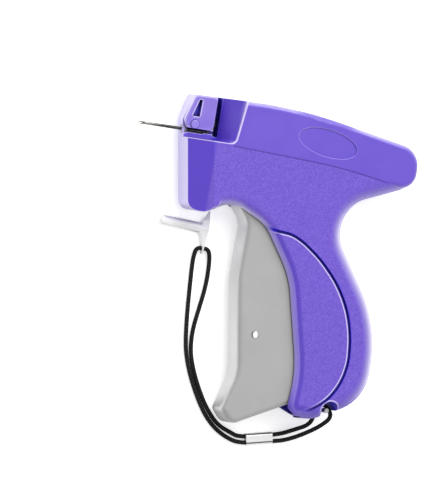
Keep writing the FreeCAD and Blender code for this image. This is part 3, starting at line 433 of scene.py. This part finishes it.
def casing_gloss(tree, x, y, scoop, top):
    """Share of the satin gloss that the casing's areas keep."""
    waist = ramp(tree, y, 1.0, 0.3, *WAIST_GLOSS)
    barrel = ramp(tree, y, 0.3, 1.0, *BARREL_GLOSS)
    nose = fall(tree, x, *NOSE_GLOSS)
    return times(tree, ramp(tree, y, 0.1, 1.0, *FOOT_GLOSS), ramp(tree, scoop, 1.0, 0.12),
                 highest(tree, waist, barrel, nose), ramp(tree, top, 1.0, 0.3))


def casing_material(name, base, deep, pit, peak, gloss):
    """Moulded purple plastic: smooth barrel and nose, fine spark texture on the grip, with painted
    highlights on its edges and lines and painted shade in its recesses and on its turned faces.
    """
    mat, tree, shader = new_material(name)
    coords, x, y, z = object_mm(tree)
    below = off_crease(tree, x, y)
    groove = off_groove(tree, x, y)
    field = off_field_rim(tree, x, y)
    textured = times(tree, rise(tree, below, 0.0, 0.35), rise(tree, x, *NOSE_FADE))
    grain = noise(tree, coords, 2.2, 2.0, 0.7)
    height = times(tree, minus(tree, grain, 0.5), textured)
    tree.links.new(bump(tree, height, 0.9, 0.5), shader.inputs["Normal"])

    tone = clouded(tree, coords, 0.06, 2.0, 0.5, deep, base)
    spark = mix_colour(tree, rise(tree, grain, 0.36, 0.64), pit, peak)
    tone = mix_colour(tree, times(tree, textured, 0.8), tone, spark)
    top = times(tree, rise(tree, y, *TOP_HEIGHT), fall(tree, off(tree, x, TOP_MIDDLE), *TOP_REACH))
    # painted highlights along edges and the lines of groove, field and notch
    lines = painted_highlight_lines(tree, x, y, z, below, groove, field, top)
    tone = mix_colour(tree, lines, tone, EDGE_HIGHLIGHT_COLOUR)
    scoop = times(tree, fall(tree, field, -1.0, -0.2), rise(tree, x, *SCOOP_START))
    # painted shades on the scoop, nose panel and round edges, and a painted highlight on the grip's
    # edge
    for share, colour in painted_casing_shading(tree, x, y, z, scoop):
        tone = mix_colour(tree, share, tone, colour)
    # painted shade in gaps, grooves and the notch
    openness = corners(tree, RECESS_REACH)
    shade_share = casing_recess_shade(tree, x, y, below, groove, openness)
    tree.links.new(with_painted_shade(tree, tone, shade_share, openness), shader.inputs["Base Color"])

    smear = noise(tree, coords, 0.35, 3.0, 0.6)
    rough = math_node(tree, "ADD", ramp(tree, textured, 0.36, 0.5), ramp(tree, smear, -0.03, 0.03))
    tree.links.new(rough, shader.inputs["Roughness"])
    shader.inputs["IOR"].default_value = 1.48
    satin(tree, shader, gloss, 0.35, openness, casing_gloss(tree, x, y, scoop, top))
    return mat


# ------------------------------------------------------------------ other materials
TRIGGER_FOOT = (44.6, -134.0)   # lowest point of the trigger
TRIGGER_FOOT_SLOPE = 0.431      # rise of its underside behind that point
TRIGGER_FOOT_GLOSS = ((3.0, 6.5), (-131.0, -128.5))
LOCK_PIN = ((4.1, 2.9), 2.0)    # middle and radius of the head that the cover turns on
TRIGGER_PIN = ((48.4, -92.0), 1.8)      # middle and radius of the pin through the trigger
# colour of the painted shade on the rounded edge of the trigger pin's head
PIN_EDGE_SHADE = linear(84, 82, 78)
PIN_SQUEEZE = 1.3               # its bright middle, inside the painted shade on its edge, is narrower than high by that
NEEDLE_TIP = (-24.0, -11.0)     # the ground end of the needle is brighter
BASE_TIP_HIGHLIGHT = (-0.2, 0.6)          # painted highlight on the front of the needle's foot at the nose

FERRULE_MIDDLE = (65.1, -140.9)
FERRULE_ANGLE = math.radians(11.4)
FERRULE_HALF = 6.75
CRIMP_FOLD_SHADE_LINES = ((2.35, 0.45), (-1.75, 0.5))      # painted shade lines of the pressed creases: place across the sleeve, half width

LILAC_GLOSS = (0.78, 0.73, 0.98, 1)
WHITE = (1.0, 1.0, 1.0, 1)


def trigger_gloss(tree, x, y):
    """Less gloss on the worn round edges at the foot of the trigger."""
    above = math_node(tree, "MULTIPLY_ADD", minus(tree, x, TRIGGER_FOOT[0]), -TRIGGER_FOOT_SLOPE,
                      minus(tree, y, TRIGGER_FOOT[1]))
    return math_node(tree, "MINIMUM", ramp(tree, above, 0.05, 1.0, *TRIGGER_FOOT_GLOSS[0]),
                     ramp(tree, y, 0.1, 1.0, *TRIGGER_FOOT_GLOSS[1]))


def plastic(name, base, deep, recess, edge, gloss, roughness=0.42, grain=0.10, reach=3.0,
            edge_reach=EDGE_REACH, shade=RECESS_SHADE, tip=None, pin=None, ring=None,
            gloss_share=None):
    """Plain moulded plastic with faint flow shades and a fine skin, a painted highlight along its
    outer edges and painted shade in its recesses.

    tip is a painted highlight colour for its front, pin is the (middle, radius) of a pin's head
    that shows painted shade on its edge, and ring is that of a pin with a dark gap round it.
    """
    mat, tree, shader = new_material(name)
    coords, x, y, z = object_mm(tree)
    tone = clouded(tree, coords, 0.08, 3.0, 0.55, deep, base)
    # painted highlight along the outer edges
    tone = mix_colour(tree, painted_edge_highlight(tree, edge_reach), tone, edge)
    # painted highlight on its front, where a tip colour is given
    if tip is not None:
        tone = mix_colour(tree, fall(tree, x, *BASE_TIP_HIGHLIGHT, LINE_SHARE), tone, tip)
    # painted shade on the rounded edge of a pin's head
    if pin is not None:
        (at_x, at_y), radius = pin
        across = times(tree, minus(tree, x, at_x), PIN_SQUEEZE)
        away = length_of(tree, across, minus(tree, y, at_y))
        rim = rise(tree, away, radius - 0.35, radius - 0.1, LINE_SHARE)
        tone = mix_colour(tree, rim, tone, PIN_EDGE_SHADE)
    if ring is not None:
        (at_x, at_y), radius = ring
        away = length_of(tree, minus(tree, x, at_x), minus(tree, y, at_y))
        tone = mix_colour(tree, fall(tree, away, radius + 0.25, radius + 0.5, 0.85), tone, recess)
    # painted shade in recesses
    openness = corners(tree, reach)
    tone = with_painted_shade(tree, tone, fall(tree, openness, *shade), openness, recess,
                       darker(recess, 0.4))
    tree.links.new(tone, shader.inputs["Base Color"])
    skin = noise(tree, coords, 2.6, 3.0, 0.6)
    tree.links.new(bump(tree, skin, grain, 0.12), shader.inputs["Normal"])
    smear = noise(tree, coords, 0.5, 3.0, 0.6)
    tree.links.new(ramp(tree, smear, roughness - 0.04, roughness + 0.04),
                   shader.inputs["Roughness"])
    shader.inputs["Coat Weight"].default_value = 0.2
    shader.inputs["Coat Roughness"].default_value = 0.3
    share = None if gloss_share is None else gloss_share(tree, x, y)
    satin(tree, shader, gloss, roughness, openness, share)
    return mat


def clear_plastic(name):
    """Milky soft plastic of the needle cap."""
    mat, tree, shader = new_material(name)
    coords = object_mm(tree)[0]
    tone = clouded(tree, coords, 0.35, 3.0, 0.55, linear(248, 247, 248), linear(255, 255, 255))
    tree.links.new(tone, shader.inputs["Base Color"])
    shader.inputs["Roughness"].default_value = 0.25
    shader.inputs["Subsurface Weight"].default_value = 0.2
    shader.inputs["Subsurface Radius"].default_value = (1.0, 1.0, 1.0)
    shader.inputs["Subsurface Scale"].default_value = 1.2 * MM
    tree.links.new(bump(tree, noise(tree, coords, 1.2), 0.12, 0.2), shader.inputs["Normal"])
    satin(tree, shader, WHITE, 0.25, corners(tree, 2.0))
    return mat


def metal(name, colour, roughness, stretch=(1.0, 1.0, 1.0), tip=None):
    """Worked metal; stretch draws the fine scratches out along one direction."""
    mat, tree, shader = new_material(name)
    coords, x, y, z = object_mm(tree)
    drawn = add(tree, "ShaderNodeVectorMath", operation="MULTIPLY")
    drawn.inputs[1].default_value = stretch
    tree.links.new(coords, drawn.inputs[0])
    lines = noise(tree, drawn.outputs[0], 3.0, 4.0, 0.6)
    tone = mix_colour(tree, rise(tree, lines, 0.3, 0.7), darker(colour, 0.8), colour)
    if tip is not None:
        tone = mix_colour(tree, fall(tree, x, *NEEDLE_TIP), tone, tip)
    tree.links.new(tone, shader.inputs["Base Color"])
    tree.links.new(ramp(tree, lines, roughness - 0.05, roughness + 0.08),
                   shader.inputs["Roughness"])
    tree.links.new(bump(tree, lines, 0.15, 0.03), shader.inputs["Normal"])
    shader.inputs["Metallic"].default_value = 1.0
    return mat


def crimp(name, colour, dark):
    """Bright crimped sleeve; two painted shade lines stand for the creases pressed along its
    length.
    """
    mat, tree, shader = new_material(name)
    coords, x, y, z = object_mm(tree)
    across = math_node(tree, "MULTIPLY_ADD", minus(tree, x, FERRULE_MIDDLE[0]),
                       -math.sin(FERRULE_ANGLE),
                       times(tree, minus(tree, y, FERRULE_MIDDLE[1]), math.cos(FERRULE_ANGLE)))
    fold_shade = highest(tree, *(fall(tree, off(tree, across, at), wide * 0.4, wide)
                            for at, wide in CRIMP_FOLD_SHADE_LINES))
    # painted shade lines along the pressed creases
    tree.links.new(mix_colour(tree, fold_shade, colour, dark), shader.inputs["Base Color"])
    lines = noise(tree, coords, 3.0, 3.0, 0.6)
    tree.links.new(bump(tree, lines, 0.1, 0.03), shader.inputs["Normal"])
    tree.links.new(ramp(tree, lines, 0.28, 0.38), shader.inputs["Roughness"])
    shader.inputs["Metallic"].default_value = 0.35
    return mat


def rubber(name):
    """Dull black rubber of the slide's bumper."""
    mat, tree, shader = new_material(name)
    skin = noise(tree, object_mm(tree)[0], 2.0, 3.0, 0.6)
    tree.links.new(mix_colour(tree, skin, linear(24, 24, 26), linear(46, 46, 50)),
                   shader.inputs["Base Color"])
    tree.links.new(bump(tree, skin, 0.3, 0.2), shader.inputs["Normal"])
    shader.inputs["Roughness"].default_value = 0.75
    return mat


def cord_material(name):
    """Black braid; the relief is in the mesh, and the crowns of the yarns are painted lighter as a
    painted highlight.
    """
    mat, tree, shader = new_material(name)
    crown = add(tree, "ShaderNodeAttribute", attribute_name="crown").outputs["Fac"]
    fibre = noise(tree, object_mm(tree)[0], 9.0, 3.0, 0.7)
    dark = mix_colour(tree, fibre, linear(6, 6, 7), linear(26, 26, 28))
    light = mix_colour(tree, fibre, linear(50, 50, 50), linear(120, 120, 118))
    # painted highlight on the crowns of the yarns
    tree.links.new(mix_colour(tree, rise(tree, crown, 0.76, 0.98), dark, light),
                   shader.inputs["Base Color"])
    tree.links.new(bump(tree, fibre, 0.4, 0.05), shader.inputs["Normal"])
    shader.inputs["Roughness"].default_value = 0.7
    shader.inputs["IOR"].default_value = 1.25
    return mat


# Each plastic's edge colour is a painted highlight, its recess colour a painted shade that also
# darkens the gap round a pin, and the dark part's tip colour a painted highlight
MATERIALS = {
    "casing": casing_material(
        "casing", base=linear(107, 80, 202), deep=linear(101, 74, 197), pit=linear(94, 62, 194),
        peak=linear(134, 108, 228), gloss=LILAC_GLOSS),
    "cover": plastic(
        "cover", base=linear(138, 116, 212), deep=linear(124, 100, 206), recess=linear(24, 0, 150),
        edge=linear(228, 220, 255), gloss=LILAC_GLOSS, roughness=0.34, grain=0.04, edge_reach=1.1,
        ring=LOCK_PIN),
    "cover_pin": plastic(
        "cover_pin", base=linear(150, 130, 222), deep=linear(140, 118, 214),
        recess=linear(60, 30, 170), edge=linear(196, 182, 244), gloss=LILAC_GLOSS, roughness=0.34,
        grain=0.04, edge_reach=0.5),
    "grey": plastic(
        "grey", base=linear(172, 171, 171), deep=linear(167, 166, 166),
        recess=linear(136, 134, 130), edge=linear(200, 199, 198), gloss=(0.93, 0.93, 0.93, 1),
        grain=0.08, reach=7.0, shade=(0.58, 0.96), ring=TRIGGER_PIN, gloss_share=trigger_gloss),
    "dark": plastic(
        "dark", base=linear(52, 50, 66), deep=linear(40, 38, 52), recess=linear(12, 8, 40),
        edge=linear(120, 116, 140), gloss=(0.5, 0.5, 0.5, 1), roughness=0.35, grain=0.05,
        tip=linear(182, 168, 224)),
    "nylon": plastic(
        "nylon", base=linear(226, 223, 214), deep=linear(212, 209, 200), recess=linear(20, 10, 70),
        edge=linear(240, 238, 232), gloss=(0.8, 0.8, 0.78, 1), roughness=0.45, grain=0.06),
    "polished": plastic(
        "polished", base=linear(252, 252, 252), deep=linear(244, 244, 244),
        recess=linear(150, 150, 150), edge=linear(255, 255, 255), gloss=WHITE, roughness=0.2,
        grain=0.02, pin=TRIGGER_PIN),
    "clear": clear_plastic("clear"),
    "needle_steel": metal("needle_steel", linear(88, 89, 84), 0.22, (0.15, 3.0, 3.0),
                          tip=linear(205, 206, 200)),
    "steel": metal("steel", linear(190, 191, 194), 0.30),
    "spring_steel": metal("spring_steel", linear(150, 152, 156), 0.35, (1.0, 1.0, 3.0)),
    "crimp": crimp("crimp", linear(250, 250, 250), linear(96, 96, 94)),
    "rubber": rubber("rubber"),
    "cord": cord_material("cord"),
}

# Material of each CAD node that shows or lies inside
FINISH = {
    "left_casing": "casing", "right_casing": "casing", "needle": "needle_steel",
    "needle_base": "dark", "needle_lock_cover": "cover", "lock_pin": "cover_pin",
    "feed_gear": "nylon", "feed_gear_shaft": "steel", "cutter_blade": "steel",
    "trigger": "grey", "trigger_pivot_pin": "steel", "push_arm": "steel",
    "trigger_pin": "polished", "drive_pin": "steel", "drive_lever": "nylon",
    "lever_pivot_pin": "steel", "return_spring": "spring_steel", "slide_block": "nylon",
    "slide_pin": "steel", "ejector_rod": "needle_steel", "feed_finger": "spring_steel",
    "rod_guide": "nylon", "slide_bumper": "rubber", "casing_screws": "steel",
    "strap_post": "steel", "ferrule": "crimp",
}


def dress_nodes():
    """Gives each CAD node its material."""
    for name, finish in FINISH.items():
        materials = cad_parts[name].data.materials
        materials.clear()
        materials.append(MATERIALS[finish])


# ------------------------------------------------------------------ route of the strap
CORD_RADIUS = 1.06
CORD_Z = -HALF + CORD_RADIUS + 0.03     # lying on the table, clear of it by a hair
UPPER = 1.0                     # the strands' places across the sleeve, in lanes
LOWER = -1.4                    # the lower strand lies further out in it
LANE = 1.25
LANE_Z = -HALF + 1.65

# Needle cap: closed end of its tube, lean, tube, and the eye that the strap goes through
CAP_END = (-2.8, -44.2, -9.25)
CAP_LEAN = math.radians(-3.2)
CAP_LENGTH = 26.0
CAP_TUBE_END = CAP_LENGTH - 0.3
CAP_RADIUS = 2.75
CAP_DOME = (0.1, 0.35, 0.6, 0.85, 1.1, 1.35)    # angles of the closed end's rings, radians
CAP_BORE = 1.1
CAP_EYE = (25.2, -9.5)
CAP_EYE_RADIUS = 1.06
CAP_EYE_SHIFT = 0.3             # the route's point there is that far back and up from its middle
# Thumb plate across the tube's open end: height, back, front and half breadth
CAP_PLATE = ((-12.3, 24.9, 25.5, 1.0), (-9.5, 24.6, 25.5, 1.9), (-5.9, 23.6, 25.6, 1.9),
             (-2.8, 22.2, 25.6, 2.2), (0.0, 21.9, 25.7, 2.4), (3.2, 22.2, 25.6, 2.2),
             (5.8, 23.8, 25.5, 1.4), (8.7, 24.9, 25.4, 0.7))
CAP_VOXEL = 0.2
CAP_SMOOTHING = 10
BORE_PAST = 2.0                 # how far the bore's cutter reaches past the tube
EYE_REACH = 4.0                 # half length of the eye's cutter


def lane_point(side, reach):
    """Point on one of the ferrule's two lanes."""
    along = (math.cos(FERRULE_ANGLE), math.sin(FERRULE_ANGLE))
    x = FERRULE_MIDDLE[0] - along[1] * LANE * side + along[0] * reach
    y = FERRULE_MIDDLE[1] + along[0] * LANE * side + along[1] * reach
    return (x, y, LANE_Z)


def cap_place(along, up, out=0.0):
    """Point of the needle cap's own frame as a point of the gun's frame, in mm."""
    x = CAP_END[0] + along * math.cos(CAP_LEAN) - up * math.sin(CAP_LEAN)
    y = CAP_END[1] + along * math.sin(CAP_LEAN) + up * math.cos(CAP_LEAN)
    return (x, y, CAP_END[2] + out)


# From the ferrule round the post in the foot, back through the ferrule, and through the cap's eye
STRAP_ROUTE = [
    lane_point(UPPER, 0.3), lane_point(UPPER, FERRULE_HALF + 3.5),
    (81.2, -134.7, -9.0), (89.1, -130.4, -5.2), (88.2, -122.4, -2.0),
    (91.4, -119.4, -0.2), (96.6, -125.0, 1.6), (92.6, -130.6, -1.5),
    (85.4, -136.3, -7.0), (78.8, -139.8, -10.3),
    lane_point(LOWER, FERRULE_HALF + 2.0), lane_point(LOWER, -FERRULE_HALF - 3.0),
    (48.4, -142.4, CORD_Z), (41.4, -138.4, CORD_Z), (35.3, -132.1, CORD_Z),
    (29.6, -123.0, CORD_Z), (25.1, -114.0, CORD_Z), (22.0, -105.2, CORD_Z),
    (20.7, -97.5, CORD_Z), (19.6, -85.0, CORD_Z), (19.0, -73.0, CORD_Z), (18.6, -64.0, CORD_Z),
    (18.5, -59.2, -10.5), (18.9, -55.4, -9.6),
    cap_place(CAP_EYE[0] - CAP_EYE_SHIFT, CAP_EYE[1] + CAP_EYE_SHIFT),
    (25.4, -55.2, -9.6), (26.9, -59.6, -10.5), (27.3, -67.0, CORD_Z), (26.8, -75.0, CORD_Z),
    (25.1, -85.0, CORD_Z), (23.6, -95.0, CORD_Z), (24.2, -104.65, CORD_Z),
    (27.2, -113.25, CORD_Z), (31.6, -122.1, CORD_Z), (37.05, -130.7, CORD_Z),
    (43.3, -137.1, CORD_Z), (50.2, -139.8, CORD_Z), lane_point(UPPER, -FERRULE_HALF - 3.0),
    lane_point(UPPER, -0.3),
]

BRAID_RINGS_PER_MM = 4.0
BRAID_SIDES = 24
BRAID_YARNS = 8                 # yarns in each direction of the braid
BRAID_PITCH = 7.0               # mm of cord in which a yarn goes once round
BRAID_DEPTH = 0.05              # relief of the yarns, mm


# ------------------------------------------------------------------ strap and needle cap
def made_mesh(thing):
    """Mesh of an object with its curve or its modifiers applied."""
    bpy.context.view_layer.update()
    graph = bpy.context.evaluated_depsgraph_get()
    return bpy.data.meshes.new_from_object(thing.evaluated_get(graph))


def route_line():
    """The strap's centreline: points of a NURBS curve through the route, in metres."""
    curve = bpy.data.curves.new("strap_route", "CURVE")
    curve.dimensions = "3D"
    curve.resolution_u = 24
    spline = curve.splines.new("NURBS")
    spline.points.add(len(STRAP_ROUTE) - 1)
    for point, corner in zip(spline.points, STRAP_ROUTE):
        point.co = (*place(*corner), 1.0)
    spline.order_u = 3
    spline.use_endpoint_u = True
    holder = linked("strap_route", curve)
    line = made_mesh(holder)
    points = np.array([v.co for v in line.vertices])
    bpy.data.objects.remove(holder)
    bpy.data.meshes.remove(line)
    return points


def evenly(points, step):
    """The same line with points a step apart, and their distances along it."""
    lengths = np.r_[0, np.cumsum(np.linalg.norm(np.diff(points, axis=0), axis=1))]
    count = int(round(lengths[-1] / step)) + 1
    stations = np.linspace(0, lengths[-1], count)
    return np.stack([np.interp(stations, lengths, points[:, k]) for k in range(3)], 1), stations


def carried_normals(points):
    """Two normals along the line, carried without twist."""
    tangents = np.gradient(points, axis=0)
    tangents /= np.linalg.norm(tangents, axis=1)[:, None]
    normal = np.cross(tangents[0], (0, 0, 1.0))
    normal /= np.linalg.norm(normal)
    normals = []
    for tangent in tangents:
        normal = normal - tangent * normal.dot(tangent)
        normal /= np.linalg.norm(normal)
        normals.append(normal)
    normals = np.array(normals)
    return normals, np.cross(tangents, normals)


def braid_height(angle, along_mm):
    """Relief of two sets of yarns that pass over and under each other, 0 to 1."""
    turn = along_mm / BRAID_PITCH * 2 * np.pi
    one = np.cos(BRAID_YARNS * (angle + turn))
    two = np.cos(BRAID_YARNS * (angle - turn))
    over = np.cos(BRAID_YARNS / 2 * (angle + turn)) * np.cos(BRAID_YARNS / 2 * (angle - turn))
    first = (0.5 + 0.5 * one) * (0.5 + 0.5 * np.sign(over))
    second = (0.5 + 0.5 * two) * (0.5 - 0.5 * np.sign(over))
    return np.maximum(first, second)


def tube_mesh(name, rings):
    """Closed tube through rings of points, with a cap at each end."""
    count, sides = rings.shape[:2]
    faces = []
    for i in range(count - 1):
        for k in range(sides):
            n = (k + 1) % sides
            faces.append((i * sides + k, i * sides + n, (i + 1) * sides + n, (i + 1) * sides + k))
    faces.append(tuple(range(sides))[::-1])
    faces.append(tuple((count - 1) * sides + k for k in range(sides)))
    mesh = bpy.data.meshes.new(name)
    mesh.from_pydata(rings.reshape(-1, 3).tolist(), [], faces)
    mesh.update()
    return mesh


def skin(name, rings):
    """Mesh of a closed solid through rings of (along, up, out) points in the cap's frame."""
    return tube_mesh(name, np.array([[place(*cap_place(*p)) for p in ring] for ring in rings]))


def round_bar(name, stations, middle=0.0, sides=32):
    """Bar along the cap's length, through stations of (along, radius)."""
    turns = [2 * math.pi * k / sides for k in range(sides)]
    return skin(name, [[(along, middle + radius * math.cos(t), radius * math.sin(t)) for t in turns]
                       for along, radius in stations])


def solid_of(name, *meshes):
    """An object of the meshes together, with their faces turned outward."""
    solids = bmesh.new()
    for mesh in meshes:
        solids.from_mesh(mesh)
    bmesh.ops.recalc_face_normals(solids, faces=solids.faces)
    together = bpy.data.meshes.new(name)
    solids.to_mesh(together)
    solids.free()
    return linked(name, together)


def smooth_piece(name, mesh, material):
    """An object of the mesh, shaded smooth, in that material."""
    mesh.polygons.foreach_set("use_smooth", [True] * len(mesh.polygons))
    mesh.materials.clear()
    mesh.materials.append(MATERIALS[material])
    return linked(name, mesh)


def cap_piece():
    """Soft needle cap: closed tube fused with a thumb plate that the strap goes through."""
    dome = [(CAP_RADIUS * (1 - math.cos(t)), CAP_RADIUS * math.sin(t)) for t in CAP_DOME]
    tube = round_bar("cap_tube", dome + [(CAP_RADIUS, CAP_RADIUS), (CAP_TUBE_END, CAP_RADIUS)])
    plate = skin("cap_plate", [[(back, up, -wide), (front, up, -wide), (front, up, wide),
                                (back, up, wide)] for up, back, front, wide in CAP_PLATE])
    bore = round_bar("cap_bore", [(CAP_RADIUS, CAP_BORE), (CAP_LENGTH + BORE_PAST, CAP_BORE)])
    eye = round_bar("cap_eye", [(CAP_EYE[0] - EYE_REACH, CAP_EYE_RADIUS),
                                (CAP_EYE[0] + EYE_REACH, CAP_EYE_RADIUS)], CAP_EYE[1])
    body = solid_of("needle_cap_raw", tube, plate)
    fused = body.modifiers.new("fused", "REMESH")
    fused.mode = "VOXEL"
    fused.voxel_size = CAP_VOXEL * MM
    body.modifiers.new("soft", "SMOOTH").iterations = CAP_SMOOTHING
    cutters = [solid_of("cap_cutter", mesh) for mesh in (bore, eye)]
    for cutter in cutters:
        cut = body.modifiers.new("cut", "BOOLEAN")
        cut.operation = "DIFFERENCE"
        cut.object = cutter
    mesh = made_mesh(body)
    for helper in (body, *cutters):
        bpy.data.objects.remove(helper)
    piece = smooth_piece("cap", mesh, "clear")
    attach(piece, "casing")
    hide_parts("needle_cap")
    return piece


def strap(cap):
    """Braided strap along its route, through the ferrule and the cap."""
    points, stations = evenly(route_line(), MM / BRAID_RINGS_PER_MM)
    normals, binormals = carried_normals(points)
    angles = np.arange(BRAID_SIDES) / BRAID_SIDES * 2 * np.pi
    height = braid_height(angles[None, :], stations[:, None] / MM)
    radius = (CORD_RADIUS - BRAID_DEPTH * (1 - height)) * MM
    ring = (np.cos(angles)[None, :, None] * normals[:, None, :]
            + np.sin(angles)[None, :, None] * binormals[:, None, :])
    mesh = tube_mesh("strap", points[:, None, :] + radius[:, :, None] * ring)
    crown = mesh.attributes.new("crown", "FLOAT", "POINT")
    crown.data.foreach_set("value", height.reshape(-1).astype(np.float32))
    piece = smooth_piece("strap", mesh, "cord")
    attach(piece, "casing")
    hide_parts("strap_cord")


# ------------------------------------------------------------------ stage
FLOOR_SIZE = 6.0
FLOOR_DROP = 0.0002             # below the part's lowest point, m
FLOOR_COLOUR = (0.93, 0.93, 0.93, 1)
FLOOR_MIRRORED = (0.80, 0.80, 0.80, 1)
GLOW_SEEN = 0.55                # brings the floor to white where the camera sees it
GLOW_MIRRORED = 0.27
KEY_SIZE = 1.2
KEY_POWER = 16.0
KEY_WAY = (0.1, 0.62, 0.78)
KEY_DISTANCE = 1.4
KEY_TARGET = (0, 0, 0.01)
WORLD_LIGHT = 0.6
WALL_EDGE = (-0.6, 0.3)         # where the mirrored room goes over from dark to bright
WALL_LIGHT = (0.45, 0.8)


def seen_directly(tree):
    """Two shares: what the camera sees, and what a reflection or a clear piece shows."""
    path = tree.nodes.new("ShaderNodeLightPath")
    mirrored = highest(tree, path.outputs["Is Glossy Ray"], path.outputs["Is Transmission Ray"])
    return path.outputs["Is Camera Ray"], mirrored


def stage_floor():
    """Plain white floor under the object."""
    bpy.ops.mesh.primitive_plane_add(size=FLOOR_SIZE, location=(0, 0, -FLOOR_DROP))
    floor = bpy.context.active_object
    floor.name = "floor"
    mat, tree, shader = new_material("floor")
    shader.inputs["Roughness"].default_value = 0.9
    seen, mirrored = seen_directly(tree)
    tree.links.new(mix_colour(tree, mirrored, FLOOR_COLOUR, FLOOR_MIRRORED),
                   shader.inputs["Base Color"])
    strength = math_node(tree, "MULTIPLY_ADD", mirrored, GLOW_MIRRORED,
                         times(tree, seen, GLOW_SEEN))
    glow = add(tree, "ShaderNodeEmission", Strength=strength)
    both = tree.nodes.new("ShaderNodeAddShader")
    tree.links.new(shader.outputs[0], both.inputs[0])
    tree.links.new(glow.outputs[0], both.inputs[1])
    tree.links.new(both.outputs[0], tree.nodes["Material Output"].inputs["Surface"])
    floor.data.materials.append(mat)


def key_light():
    """Large soft lamp above the object."""
    data = bpy.data.lights.new("key", "AREA")
    data.shape = "RECTANGLE"
    data.size = data.size_y = KEY_SIZE
    data.energy = KEY_POWER
    lamp = linked("key", data)
    away = Vector(KEY_WAY).normalized()
    lamp.location = Vector(KEY_TARGET) + away * KEY_DISTANCE
    lamp.rotation_mode = "QUATERNION"
    lamp.rotation_quaternion = away.to_track_quat("Z", "Y")


def room_light():
    """White background, even light, and a graded wall for reflections."""
    world = bpy.data.worlds.new("studio")
    bpy.context.scene.world = world
    world.use_nodes = True
    tree = world.node_tree
    back = tree.nodes["Background"]
    back.inputs["Color"].default_value = WHITE
    seen, mirrored = seen_directly(tree)
    split = tree.nodes.new("ShaderNodeSeparateXYZ")
    tree.links.new(tree.nodes.new("ShaderNodeTexCoord").outputs["Generated"], split.inputs[0])
    wall = ramp(tree, split.outputs[0], *WALL_LIGHT, *WALL_EDGE)
    strength = tree.nodes.new("ShaderNodeMix")
    for slot, value in ((0, mirrored), (2, WORLD_LIGHT), (3, wall)):
        feed(tree, strength.inputs[slot], value)
    tree.links.new(highest(tree, seen, strength.outputs[0]), back.inputs["Strength"])


def camera():
    """The photographed view, from far away."""
    data = bpy.data.cameras.new("camera")
    data.lens = LENS
    data.sensor_fit = "VERTICAL"
    data.sensor_height = SENSOR
    data.clip_start, data.clip_end = CLIP
    look = Vector((math.sin(YAW), 0, -math.cos(YAW)))
    right = Vector((math.cos(YAW), 0, math.sin(YAW)))
    up = Vector((0, 1, 0))
    across = right * math.cos(ROLL) + up * math.sin(ROLL)
    upward = -right * math.sin(ROLL) + up * math.cos(ROLL)
    turn = Matrix((across, upward, -look)).transposed()
    away = FRAME_HEIGHT * LENS / SENSOR
    cam = linked("camera", data)
    cam.matrix_world = Matrix.Translation(place(*LOOK_AT) - look * away) @ turn.to_4x4()
    bpy.context.scene.camera = cam


# ------------------------------------------------------------------ scene
bpy.context.scene.view_settings.view_transform = "Standard"
camera()
dress_nodes()
strap(cap_piece())
stage_floor()
key_light()
room_light()

bpy.context.view_layer.update()
